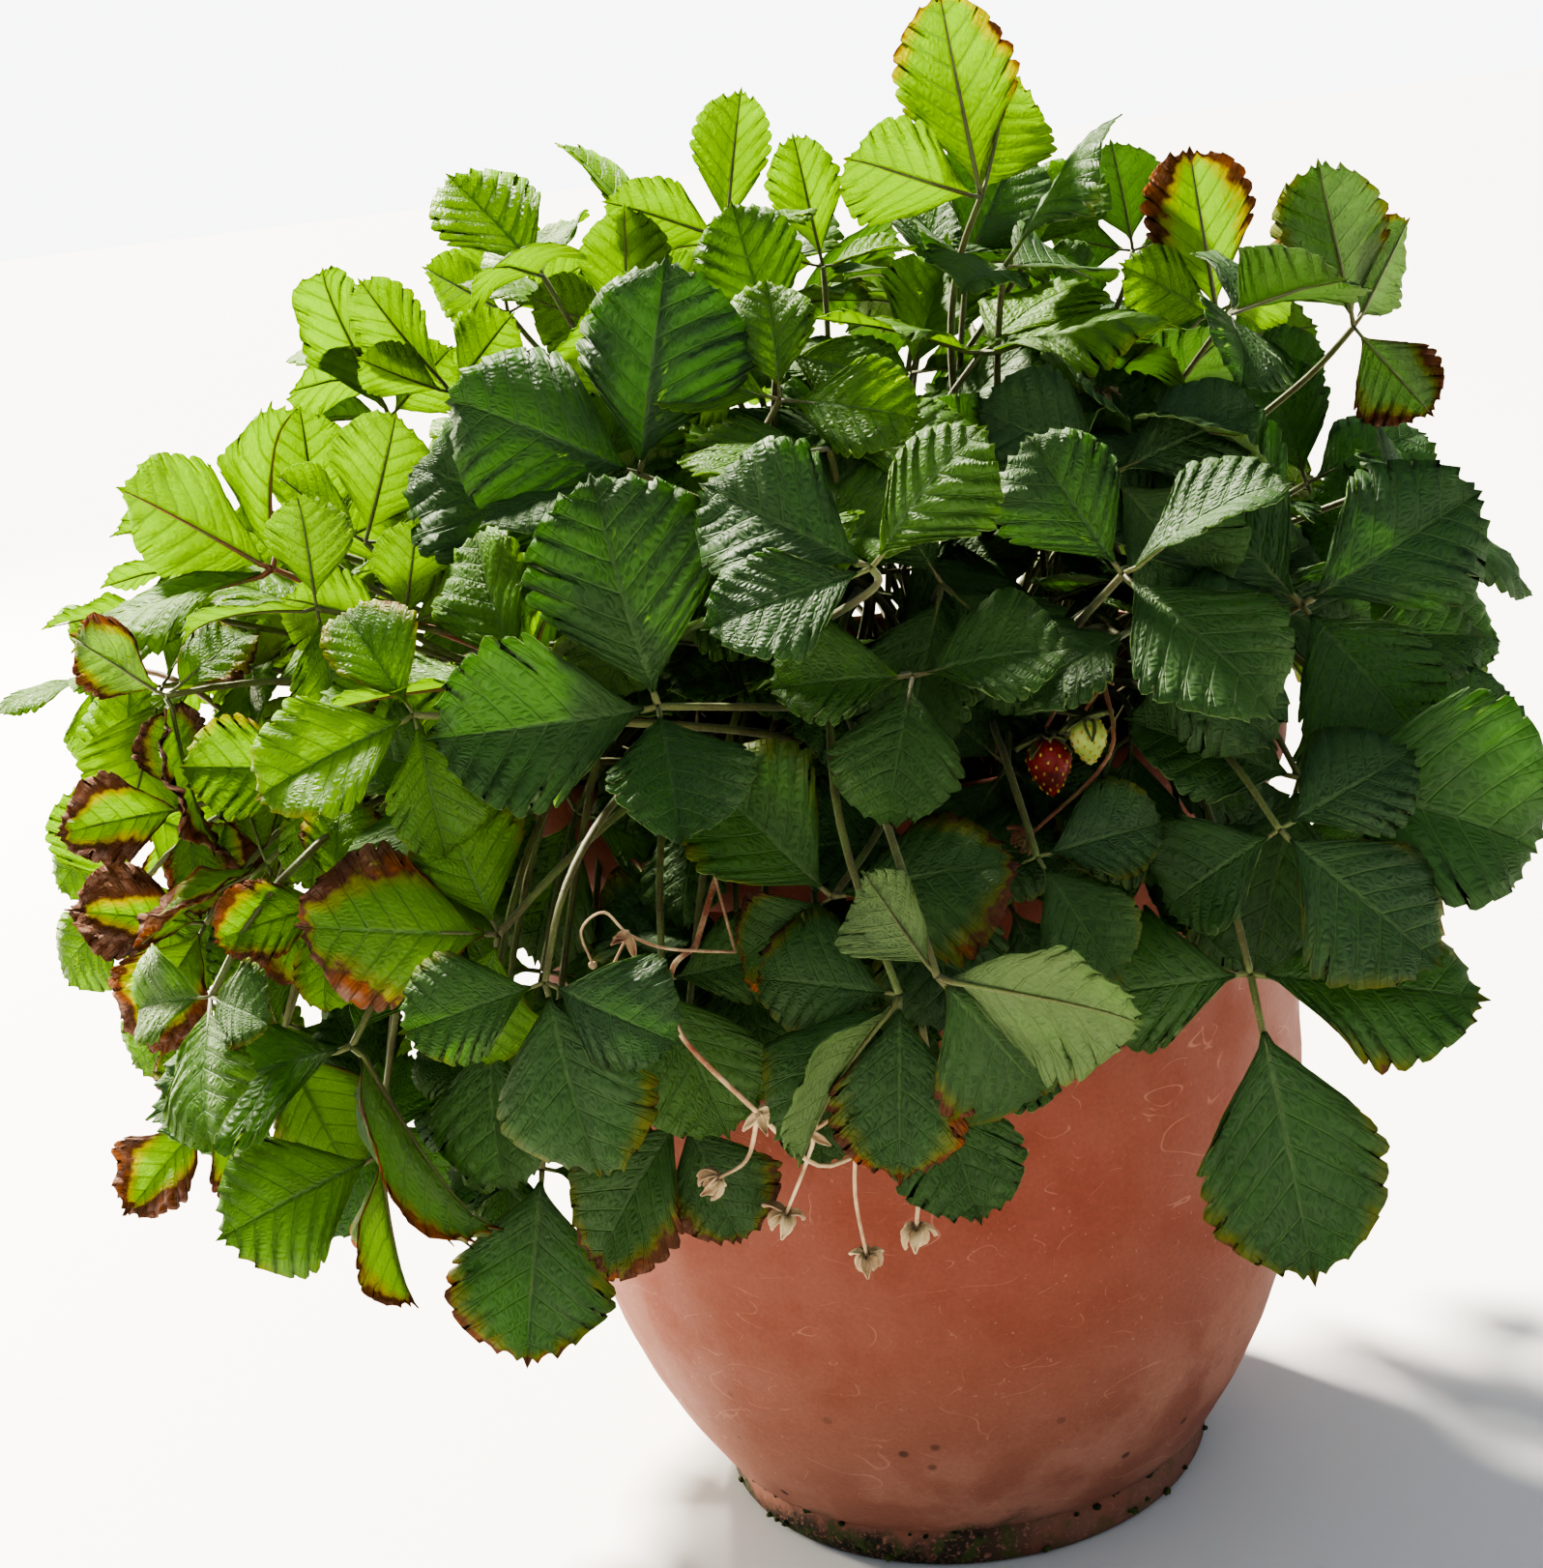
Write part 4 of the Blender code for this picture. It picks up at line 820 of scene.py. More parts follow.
# rings of plain leaves: count, centre in x, radius and height of the hubs, first and last bearing,
# how far the tips rise, leaflet length
fillRings = [
    (11, -30, 198, 255, -25, 205, -0.9, 54),
    (12, -30, 188, 325, -15, 198, -0.35, 54),
    (9, -30, 145, 395, -30, 210, 0.2, 52),
    (7, -20, 75, 415, -60, 250, 0.7, 48),
    (10, 0, 150, 310, 205, 335, -0.4, 46),
    (8, -10, 135, 365, 200, 340, 0.1, 46),
    (10, 0, 152, 262, 196, 335, -0.8, 46),
    (8, 0, 150, 225, 185, 268, -0.9, 42),
    (8, -30, 190, 222, 150, 235, -0.7, 40),
    (8, -30, 170, 290, 165, 240, -0.2, 42),
    (8, 0, 112, 318, 195, 345, 0.2, 46),
    (6, 0, 88, 362, 190, 350, 0.5, 46),
    (7, -30, 210, 252, 165, 228, -0.4, 40),
    (7, -30, 190, 335, 150, 205, 0.1, 40),
    (6, -30, 165, 205, 195, 250, -1.0, 38),
    (7, -30, 150, 358, 100, 205, 0.3, 44),
    (7, -20, 105, 350, -20, 190, 0.5, 46),
    (6, -5, 45, 383, 10, 370, 0.5, 50),
    (8, 0, 84, 340, -60, 300, 0.3, 48),
]


def fillRows():
    rng = random.Random("fill")
    rows = []
    for count, centre, radius, height, first, last, rise, long in fillRings:
        for i in range(count):
            turn = math.radians(first + (last - first) * (i + 0.5) / count + rng.uniform(-5, 5))
            out = Vector((math.cos(turn), math.sin(turn), 0))
            side = Vector((-out.y, out.x, 0))
            hub = out * (radius + rng.uniform(-8, 8)) + Vector((centre, 0, height + rng.uniform(-14, 14)))
            face = out * rng.uniform(0.5, 0.9) + Vector((0, 0, rng.uniform(0.4, 0.9) + max(rise, 0)))
            sway = rng.uniform(-0.5, 0.5)
            ahead = out * 0.5 + side * sway + Vector((0, 0, rise))
            leaflets = [(tuple(ahead), tuple(face), long + rng.uniform(-4, 6))]
            for way in (1, -1):
                ahead = side * way + out * 0.25 + Vector((0, 0, rng.uniform(-0.25, 0.3)))
                leaflets.append((tuple(ahead), tuple(face), long * 0.86 + rng.uniform(-5, 5)))
            rows.append((f"leaf_fill_{len(rows) + 1}", hub, *leaflets))
    return rows


def growMore(rows, tries, reach, most, deep=deepInside["radius"]):
    # adds the rows that find a place and returns them
    seated = seatBlades(room, rows, shifts(reach))
    for name, hub, *leaflets in rows:
        if name not in seated and math.hypot(*hub[:2]) < deep and hub[2] < deepInside["height"]:
            seated[name] = Vector(hub)
    heads = {name: leaflets[0][0] for name, _, *leaflets in rows}
    ends = dict(sorted(seated.items(), key=lambda item: item[1].z))
    bases = stalkBases(ends)
    found = routeStalks(room, ends, heads, bases, tries, most)
    for name, path in found.items():
        if not path:
            found[name] = next(stalkRoutes(bases[name], ends[name], heads[name]))
    hubs.update(seated)
    routes.update(found)
    return [row for row in rows if row[0] in seated]


# spare base spots tried for a stalk, steps that a hub may move, routes tried from each spot;
# the deep leaves may touch others out to a wider radius
moreLeaves = growMore(moreLeaves, 2, 3, 60)
deepLeaves = growMore(deepLeaves, 1, 2, 24, 300)
fillLeaves = growMore(fillRows(), 1, 3, 24)
print("more leaves placed:", len(moreLeaves), len(deepLeaves), len(fillLeaves))


# lengths are parts of the leaflet's length, apart from the skin in millimetres
leafShape = {
    "columns": {"fine": 10, "plain": 6},    # across, midrib in the middle
    "fineMore": 14,     # how many of the leaves in between are fine
    "basal": 6,         # rows in the smooth wedge at the stalk
    "teeth": 8.5,       # per side, the half tooth is the tip
    "from": 0.3,        # where along the leaflet the teeth start
    "depth": 0.062,     # of a tooth
    "pleat": 0.010,     # height of the folds between side veins
    "groove": 0.006,    # depth of the midrib's groove
    "lean": 0.86,       # how far the side veins run forward
    "relax": 0.35,      # how much flatter the margin lies than the middle
    "skin": 0.32, "widest": 0.57, "half": 0.405,
}


def margin(u):
    # half width of the smooth margin, from a wedge at the stalk to a blunt point
    widest = leafShape["widest"]
    if u < widest:
        return math.sin(math.pi / 2 * u / widest) ** 1.25
    return max(0.0, 1 - ((u - widest) / (1 - widest)) ** 2.1) ** 0.6


def marginTable():
    # points of the smooth outline, evenly spaced by arc, toothed part after the basal rows
    us = 1 - (1 - np.linspace(0, 1, 1200)) ** 1.8
    ws = np.array([margin(u) for u in us]) * leafShape["half"]
    arc = np.concatenate([[0], np.cumsum(np.hypot(np.diff(us), np.diff(ws)))])
    arc /= arc[-1]
    start = np.interp(leafShape["from"], us, arc)
    basal, toothRows = leafShape["basal"], int(leafShape["teeth"] * 4)
    places = list(np.linspace(0, start, basal + 1))[:-1] + list(np.linspace(start, 1, toothRows + 1))
    return us, ws, arc, np.array(places), start


us, ws, arcs, rowPlaces, toothStart = marginTable()
rowCount = len(rowPlaces)
toothArc = (1 - toothStart) / leafShape["teeth"]


def leafletPlan(rng, wide, bite):
    # flat leaflet, length 1: midrib places and both margins, row by row
    margins = []
    toothLift = (0, 0.8, 1.0, 0.72)
    toothShift = (0, 0.03, 0.14, 0.12)
    for side in (0, 1):
        places = rowPlaces.copy()
        lift = np.zeros(rowCount)
        uneven = 1.0
        for i in range(leafShape["basal"], rowCount):
            k = (i - leafShape["basal"]) % 4
            if k == 0:
                uneven = 1 + rng.uniform(-0.3, 0.25)
            near = min(1.0, max(0.0, (places[i] - toothStart) / 0.12))
            size = near * near * (3 - 2 * near) * (1 - 0.35 * places[i] ** 3) * uneven
            lift[i] = toothLift[k] * size
            places[i] = min(1.0, places[i] + toothShift[k] * toothArc * near)
        x = np.interp(places, arcs, us)
        w = np.interp(places, arcs, ws) * wide[side]
        dx = np.gradient(np.interp(rowPlaces, arcs, us))
        dw = np.gradient(np.interp(rowPlaces, arcs, ws) * wide[side])
        long = np.hypot(dx, dw) + 1e-9
        x = x + dw / long * lift * bite
        w = w + dx / long * lift * bite
        margins.append((x, np.maximum(w, 0.012)))
    tip = max(margins[0][0][-1], margins[1][0][-1], 1.0) + bite * 0.6
    for x, w in margins:
        x[-1], w[-1] = tip, 0
    middle = np.interp(rowPlaces, arcs, us) - leafShape["lean"] * np.interp(rowPlaces, arcs, ws)
    middle = np.maximum.accumulate(np.maximum(middle, np.linspace(0, 0.12, rowCount)))
    middle[-1] = tip
    middle[-2] = min(middle[-2], tip - 0.02)
    return margins, middle


def leafMaster(columns):
    # three grids in one mesh; copies of it are shaped into leaves
    grids = []
    for _ in range(3):
        bpy.ops.mesh.primitive_grid_add(x_subdivisions=columns, y_subdivisions=rowCount - 1, size=1)
        grids.append(bpy.context.object)
    flat = grids[0].data
    spots = np.empty(len(flat.vertices) * 3)
    flat.vertices.foreach_get("co", spots)
    spots = spots.reshape(-1, 3)
    across = np.rint((spots[:, 0] + 0.5) * columns).astype(int)
    row = np.rint((spots[:, 1] + 0.5) * (rowCount - 1)).astype(int)
    return merged(grids, "leafMaster"), columns // 2, across, row


def shapeLeaflet(grid, hub, points, face, length, neck, look, rng):
    # vertices of one leaflet in millimetres, in the order of the master grid, and the line of its midrib
    _, half, columnIndex, rowIndex = grid
    ahead = unit(points)
    lift = look.get("lift", rng.uniform(-0.15, 0.3) if face != "back" else 0)
    up = facing(ahead, faceVector(face).normalized() + Vector((0, 0, lift)))
    side = ahead.cross(up)
    narrow = look.get("width", rng.uniform(0.9, 1.08))
    skew = look.get("skew", 0.0)
    margins, middle = leafletPlan(rng, (narrow * (1 - skew), narrow * (1 + skew)),
                                  leafShape["depth"] * rng.uniform(0.85, 1.15))
    q = np.abs(columnIndex - half) / half
    right = columnIndex >= half
    x = np.where(right, margins[1][0][rowIndex], margins[0][0][rowIndex])
    w = np.where(right, margins[1][1][rowIndex], margins[0][1][rowIndex])
    a = middle[rowIndex]
    along = (a + (x - a) * q ** 1.12) * length
    across = w * q * length * np.where(right, 1, -1)
    # height over the flat leaflet: pleats, midrib groove, doming, wavy margin, small puckers
    rib = (rowIndex - leafShape["basal"]) / 4
    ramp = np.clip(rowIndex / (leafShape["basal"] + 4), 0, 1) * np.clip((rowCount - 1 - rowIndex) / 5, 0, 1)
    pleat = look.get("pleat", 1.0) * leafShape["pleat"] * length
    rise = pleat * np.cos(2 * np.pi * rib) * np.clip(q, 0, 1) ** 0.6 * (1 - 0.35 * q) * ramp
    rise -= leafShape["groove"] * length * np.exp(-(q / 0.12) ** 2)
    spread = np.abs(across) / (0.41 * length)
    rise -= look.get("cup", rng.uniform(-0.06, 0.2)) * spread ** 2 * length
    wave = look.get("wave", rng.uniform(0.02, 0.05)) * length
    beat, start = rng.uniform(1.2, 2.6), rng.uniform(0, 6.28)
    rise += wave * q ** 2 * np.sin(2 * np.pi * beat * along / length + start + np.where(right, 0, 2.1)) * ramp
    seed = rng.uniform(0, 50)
    bumps = np.array([noise.noise(Vector((s / 9, t / 9, seed)))
                      + 0.5 * noise.noise(Vector((s / 4, t / 4, seed))) for s, t in zip(along, across)])
    rise += look.get("crumple", 0.16) * bumps * length * 0.1 * (0.3 + q)
    # the midrib's own curve
    steps = np.linspace(0, 1.12, 60)
    bend = -np.radians(look.get("droop", 18)) * steps ** 1.3
    bend = bend - np.radians(rng.uniform(-15, 50)) * np.clip((steps - 0.6) / 0.5, 0, 1) ** 2
    sweep = rng.uniform(-0.05, 0.05) * length
    ds = length * (steps[1] - steps[0])
    alongCurve = np.concatenate([[0], np.cumsum(np.cos(bend[:-1]) * ds)])
    upCurve = np.concatenate([[0], np.cumsum(np.sin(bend[:-1]) * ds)])
    u = along / length
    cx, cz, b = np.interp(u, steps, alongCurve), np.interp(u, steps, upCurve), np.interp(u, steps, bend)
    twist = np.radians(rng.uniform(-14, 14)) * u
    fold = np.radians(look.get("fold", rng.uniform(8, 32))) * (1 - leafShape["relax"] * q)
    sideways = np.abs(across) * np.cos(fold) * np.where(right, 1, -1)
    height = np.abs(across) * np.sin(fold) + rise
    sy = sideways * np.cos(twist) - height * np.sin(twist) + sweep * u ** 2
    sz = sideways * np.sin(twist) + height * np.cos(twist)
    m, n, s = np.array(ahead), np.array(up), np.array(side)
    centre = np.array(hub + ahead * neck)
    overM, overN = -np.sin(b), np.cos(b)
    spots = (centre + cx[:, None] * m + cz[:, None] * n + sy[:, None] * s
             + sz[:, None] * (overM[:, None] * m + overN[:, None] * n))
    ribSteps = np.linspace(0, 0.97, 9)
    under = leafShape["groove"] * length + leafShape["skin"]
    ribLine = [Vector(centre + np.interp(t, steps, alongCurve) * m
                      + (np.interp(t, steps, upCurve) - under - 0.55 * (1 - t) * length / 55) * n
                      + sweep * t ** 2 * s) for t in ribSteps]
    return spots, ribLine


def stalkCurve(name, lines, resolution=1):
    # lines of (points, radius at the start, radius at the end), in millimetres
    curve = bpy.data.curves.new(name, "CURVE")
    curve.dimensions = "3D"
    curve.bevel_depth = mm
    curve.bevel_resolution = resolution
    curve.use_fill_caps = True
    for points, first, last in lines:
        spline = curve.splines.new("POLY")
        spline.points.add(len(points) - 1)
        for i, (point, spot) in enumerate(zip(spline.points, points)):
            point.co = (*(Vector(spot) * mm), 1)
            point.radius = first + (last - first) * i / (len(points) - 1)
    only(newObject(name, curve))
    bpy.ops.object.convert(target="MESH")
    obj = weld(bpy.context.object, 0.000002, outward=True)
    bpy.ops.object.shade_smooth()
    return obj


def smoothLine(points, times=2):
    # rounds a polyline's corners
    points = [Vector(p) for p in points]
    for _ in range(times):
        rounded = [points[0]]
        for a, b in zip(points, points[1:]):
            rounded += [a * 0.75 + b * 0.25, a * 0.25 + b * 0.75]
        points = rounded + [points[-1]]
    return points


def paint(obj, red, tint=0.5, phase=0.5, fade=None):
    # fade: heights between which the redness comes in
    layer = obj.data.color_attributes.new("look", "FLOAT_COLOR", "POINT")
    colours = []
    for vertex in obj.data.vertices:
        much = 1.0 if fade is None else min(1.0, max(0.0, (vertex.co.z / mm - fade[0]) / (fade[1] - fade[0])))
        colours += [red * much, tint, phase, 1.0]
    layer.data.foreach_set("color", colours)


masters = {kind: leafMaster(columns) for kind, columns in leafShape["columns"].items()}


def makeLeaf(name, hub, path, leaflets, look, kind="fine"):
    rng = random.Random(name)
    grid = masters[kind]
    obj = newObject(name, grid[0].data.copy())
    spots, colours, ribs = [], [], []
    for k, leaflet in enumerate(leaflets):
        points, face, length = leaflet[:3]
        neck = leaflet[3] if len(leaflet) > 3 else growth["neck"]
        one = {key: value[k] if isinstance(value, (tuple, list)) else value for key, value in look.items()}
        one.setdefault("droop", (0 if face == "back" else 18) + rng.uniform(-8, 12))
        if k:
            ahead, first = unit(points), unit(leaflets[0][0])
            inner = ahead.cross(facing(ahead, faceVector(face))).dot(first)
            one.setdefault("skew", -0.13 if inner > 0 else 0.13)
        shaped, rib = shapeLeaflet(grid, hub, points, face, length * 0.97, neck, one, rng)
        spots.append(shaped)
        ribs.append(([hub + unit(points) * 0.5] + rib, 0.95 * length / 55, 0.2))
        age = one.get("age", rng.uniform(0.0, 0.12))
        tint = min(1, max(0, one.get("tint", 0.35) + rng.uniform(-0.12, 0.12)))
        colours.append(np.tile([age, tint, rng.random(), 1.0], (len(shaped), 1)))
    obj.data.vertices.foreach_set("co", (np.concatenate(spots) * mm).astype(np.float32).ravel())
    layer = obj.data.color_attributes.new("look", "FLOAT_COLOR", "POINT")
    layer.data.foreach_set("color", np.concatenate(colours).astype(np.float32).ravel())
    dress(obj, leafUpper, leafUnder)
    obj.data.shade_smooth()
    thicken(weld(obj, 0.00001), leafShape["skin"], backSlot=1)
    lines = ribs if kind == "fine" else [(rib[::3], first, last) for rib, first, last in ribs]
    if path:
        lines.append((smoothLine(path, 2 if kind == "fine" else 1), 1.45, 1.0))
    stalks = stalkCurve(name + "Stalks", lines)
    paint(stalks, look.get("red", 0.15))
    dress(stalks, stalkGreen)
    return place(merged([obj, stalks], name), "leaf")


def petalMaker():
    bpy.ops.mesh.primitive_grid_add(x_subdivisions=4, y_subdivisions=6, size=1)
    flat = bpy.context.object
    return flat, [(v.co.x, v.co.y + 0.5) for v in flat.data.vertices]


petalMaster, petalSpots = petalMaker()


def makePetal(spot, ahead, face, length, width, curl, cup=0.3, thick=0.3):
    # a small pointed blade that curls away from its face by that many degrees
    obj = newObject("petal", petalMaster.data.copy())
    ahead = unit(ahead)
    up = Vector(face) - ahead * ahead.dot(Vector(face))
    up.normalize()
    side = ahead.cross(up)
    root, turned = Vector(spot), math.radians(curl)
    for vertex, (x, u) in zip(obj.data.vertices, petalSpots):
        wide = width * math.sin(math.pi * min(1, u * 0.8 + 0.16)) ** 0.9 * (1.02 - u ** 4)
        bend = turned * u
        reach = length * (math.sin(bend) / turned if abs(turned) > 0.01 else u)
        drop = -length * ((1 - math.cos(bend)) / turned if abs(turned) > 0.01 else 0)
        lift = cup * width * (2 * x) ** 2
        vertex.co = (root + ahead * (reach + lift * math.sin(bend)) + up * (drop + lift * math.cos(bend))
                     + side * x * wide) * mm
    thicken(obj, thick)
    bpy.ops.object.shade_smooth()
    return obj


def makeBlob(spot, size, squash=(1, 1, 1), rough=0.2, seed=0.0, level=2):
    bpy.ops.mesh.primitive_ico_sphere_add(subdivisions=level, radius=size * mm)
    blob = bpy.context.object
    for vertex in blob.data.vertices:
        bump = 1 + rough * noise.noise(vertex.co / (size * mm) * 1.3 + Vector((seed, seed * 0.7, 0)))
        vertex.co = Vector(v * s for v, s in zip(vertex.co, squash)) * bump + Vector(spot) * mm
    bpy.ops.object.shade_smooth()
    return blob


def throughLine(points, per=5):
    # smooth line through all its points
    points = [Vector(p) for p in points]
    points = [points[0] * 2 - points[1]] + points + [points[-1] * 2 - points[-2]]
    line = []
    for a, b, c, d in zip(points, points[1:], points[2:], points[3:]):
        for i in range(per):
            t = i / per
            line.append(0.5 * (b * 2 + (c - a) * t + (a * 2 - b * 5 + c * 4 - d) * t * t
                               + (b * 3 - a - c * 3 + d) * t ** 3))
    return line + [points[-2]]


# side: painted shade on the pot's right, away from the light
potFinish = {"upper": rgb(138, 76, 58), "lower": rgb(138, 88, 70), "side": rgb(120, 70, 56),
             "cloud": rgb(118, 54, 36), "bloom": rgb(180, 136, 118), "scratch": rgb(196, 142, 120),
             "crust": rgb(40, 38, 24), "moss": rgb(66, 82, 34), "speck": rgb(30, 22, 18)}


def makeClay():
    material, sheet, shader = makeMaterial("weatheredClay")
    where = sheet.add("TexCoord").outputs["Object"]
    spot = sheet.add("SeparateXYZ", {0: where})
    x, height = spot.outputs[0], spot.outputs[2]
    broad = sheet.noise(where, 9.0, 4.0)
    cloud = sheet.noise(where, 38.0, 5.0, 0.6)
    grain = sheet.noise(where, 700.0, 3.0, 0.6)
    level = sheet.plus(height, sheet.times(sheet.minus(broad, 0.5), 0.09))
    # chalky bloom in the lower half, higher on the right
    low = sheet.minus(height, sheet.times(x, 0.35))
    bloom = sheet.times(sheet.step(low, 0.03, 0.10, 1.0, 0.0), sheet.step(cloud, 0.38, 0.62))
    flecks = sheet.step(sheet.noise(where, 420.0, 2.0, 0.7), 0.66, 0.74)
    # the right side is painted darker with the side colour: painted shade away from the light
    colour = sheet.layered(
        potFinish["lower"], (sheet.step(level, 0.05, 0.16), potFinish["upper"]),
        (sheet.step(x, 0.03, 0.12, 0.0, 0.6), potFinish["side"]),
        (sheet.step(cloud, 0.4, 0.75, 0.0, 0.3), potFinish["cloud"]),
        (sheet.times(bloom, 0.42), potFinish["bloom"]),
        (sheet.times(flecks, sheet.step(broad, 0.35, 0.6, 0.05, 0.4)), potFinish["bloom"]))
    # fine scratches: thin lines of two warped noises
    for scale, thin, much, shift in ((22.0, 0.0035, 0.3, 3.0), (48.0, 0.006, 0.28, 9.0)):
        moved = sheet.add("Mapping", {"Vector": where, "Location": (shift, shift, 0.0),
                                      "Rotation": (0.4, shift, 0.9), "Scale": (1.0, 0.35, 1.9)}).outputs[0]
        line = sheet.calc("ABSOLUTE", sheet.minus(sheet.noise(moved, scale, 1.0, 0.4), 0.5))
        patch = sheet.step(sheet.noise(moved, scale * 1.6, 2.0), 0.51, 0.62)
        mark = sheet.times(sheet.step(line, thin * 0.3, thin, much, 0.0), patch)
        colour = sheet.blend(mark, colour, potFinish["scratch"])
    # dark specks, more of them low down
    dots = sheet.add("TexVoronoi", {"Vector": where, "Scale": 95.0, "Randomness": 1.0})
    chosen = sheet.step(sheet.add("SeparateColor", {0: dots.outputs["Color"]}).outputs[0], 0.80, 0.82)
    dot = sheet.times(sheet.step(dots.outputs["Distance"], 0.10, 0.2, 1.0, 0.0), chosen)
    dot = sheet.times(dot, sheet.step(level, 0.02, 0.11, 0.9, 0.0))
    # crust and moss round the foot, more on the left
    ragged = sheet.plus(height, sheet.times(sheet.minus(cloud, 0.5), -0.07))
    crust = sheet.times(sheet.step(ragged, 0.004, 0.02, 1.0, 0.0), sheet.step(x, -0.02, 0.05, 1.0, 0.35))
    moss = sheet.times(crust, sheet.step(sheet.noise(where, 160.0, 3.0), 0.5, 0.62))
    colour = sheet.layered(
        colour, (dot, potFinish["speck"]),
        (sheet.times(crust, sheet.step(grain, 0.3, 0.5)), potFinish["crust"]),
        (sheet.times(moss, 0.8), potFinish["moss"]))
    rings = sheet.noise(sheet.vector(0.0, 0.0, sheet.times(height, 240.0)), 1.0, 2.0)
    relief = sheet.plus(sheet.times(grain, 0.5), sheet.times(crust, 1.5))
    relief = sheet.plus(sheet.times(rings, 0.35), relief)
    sheet.finish(shader, sheet.shaded(colour, grain, 0.92, 1.06), relief, 0.5, 0.0006,
                 {"Roughness": sheet.step(cloud, 0.3, 0.7, 0.62, 0.8), "Specular IOR Level": 0.35})
    return material


def turnedBody(name, profile, steps=144):
    mesh = bpy.data.meshes.new(name)
    edges = [(i, i + 1) for i in range(len(profile) - 1)]
    mesh.from_pydata([(r * mm, 0, z * mm) for r, z in profile], edges, [])
    return weld(newObject(name, mesh), 0.00001, outward=True, spin=steps)


def makePot():
    start, floor = pot["wallStart"], pot["floor"]
    wall = [start + (pot["neckHeight"] - start) * i / 46 for i in range(47)]
    inside = [(0, floor), (potRadius(start) - 10, floor)] + [(insideRadius(z), z) for z in wall[1:]]
    outside = [(potRadius(z) + 0.12 * math.sin(z * 0.9), z) for z in reversed(wall)]
    foot = [(88.7, 15.6), (87.3, 13.6), (88, 11.2), (88.2, 6), (87.9, 2.2), (87, 0.7), (85.5, 0), (60, 0),
            (0, 0)]
    body = turnedBody("clayPot", inside + lipLine(16) + outside + foot)
    for k in range(pot["drains"]):
        turn = math.tau * k / pot["drains"]
        spot = [pot["drainRing"] * mm * way for way in (math.cos(turn), math.sin(turn), 0)]
        bpy.ops.mesh.primitive_cylinder_add(vertices=20, radius=pot["drainRadius"] * mm, depth=0.03,
                                            location=spot)
        hole = bpy.context.object
        cut = body.modifiers.new("drain", "BOOLEAN")
        cut.operation = "DIFFERENCE"
        cut.solver = "EXACT"
        cut.object = hole
        only(body)
        bpy.ops.object.modifier_apply(modifier="drain")
        bpy.data.objects.remove(hole)
    dress(body, makeClay())
    only(body)
    bpy.ops.object.shade_smooth_by_angle(angle=math.radians(40))
    return place(body, "clay", "pot")


def makeCrust():
    # crumbs of dirt and moss in the groove above the foot
    rng = random.Random("crust")
    lumps = []
    for k in range(90):
        turn = math.radians(rng.choice((rng.uniform(185, 262), rng.uniform(300, 352), rng.uniform(0, 360))))
        size = rng.uniform(0.6, 1.9)
        reach, height = rng.choice(((88.6, 13.8), (88.3, 3.5), (89.6, 16.5)))
        reach += size * 0.1
        height = max(size * 0.6, height + rng.uniform(-1.5, 1.5))
        spot = (reach * math.cos(turn), reach * math.sin(turn), height)
        lumps.append(makeBlob(spot, size, (1, 1, 0.7), 0.5, k * 3.1, 1))
    material, sheet, shader = makeMaterial("footCrust")
    where = sheet.add("TexCoord").outputs["Object"]
    patch = sheet.noise(where, 220.0, 3.0)
    colour = sheet.blend(sheet.step(patch, 0.42, 0.6), potFinish["crust"], potFinish["moss"])
    sheet.finish(shader, colour, sheet.noise(where, 1800.0), 0.7, 0.0005, {"Roughness": 0.95})
    whole = merged(lumps, "footCrust")
    return place(dress(whole, material), "soil")


def makeSoil():
    rng = random.Random("soil")
    gap = 0.3
    edge, low = insideRadius(soil["edge"]) - gap, pot["floor"] + gap
    top = [(edge * i / 30, soilTop(edge * i / 30)) for i in range(31)]
    side = [(insideRadius(z) - gap, z) for z in (240, 210, 165, 115, 80, 55, 38, 25, 18)]
    body = turnedBody("pottingSoil", top + side + [(potRadius(pot["wallStart"]) - 11, low), (0, low)], 110)
    for vertex in body.data.vertices:
        x, y, z = vertex.co / mm
        if z > soil["edge"] - 2 and math.hypot(x, y) < edge - 1:
            heaps = noise.noise(Vector((x / 14, y / 14, 1)))
            crumbs = noise.noise(Vector((x / 4, y / 4, 5)))
            vertex.co.z += (2.6 * heaps + 1.5 * crumbs) * mm
    pieces = [body]
    for k in range(240):
        far, turn = (edge - 4) * math.sqrt(rng.random()), rng.uniform(0, math.tau)
        size = rng.uniform(0.8, 2.6)
        spot = (far * math.cos(turn), far * math.sin(turn), soilTop(far) + size * 0.4)
        pieces.append(makeBlob(spot, size, (1, rng.uniform(0.7, 1.2), 0.75), 0.6, k * 1.7, 1))
    material, sheet, shader = makeMaterial("pottingSoil")
    where = sheet.add("TexCoord").outputs["Object"]
    cloud = sheet.noise(where, 120.0, 4.0, 0.6)
    grain = sheet.noise(where, 900.0, 3.0, 0.7)
    colour = sheet.layered(rgb(52, 38, 28), (sheet.step(cloud, 0.35, 0.65), rgb(84, 64, 46)),
                           (sheet.step(grain, 0.6, 0.72, 0.0, 0.7), rgb(140, 118, 92)))
    sheet.finish(shader, colour, grain, 0.8, 0.001, {"Roughness": 0.95, "Specular IOR Level": 0.2})
    whole = merged(pieces, "pottingSoil_top")
    only(whole)
    bpy.ops.object.shade_smooth_by_angle(angle=math.radians(50))
    return place(dress(whole, material), "soil", "soil")


makePot()
makeCrust()
makeSoil()
print("pot and soil made")


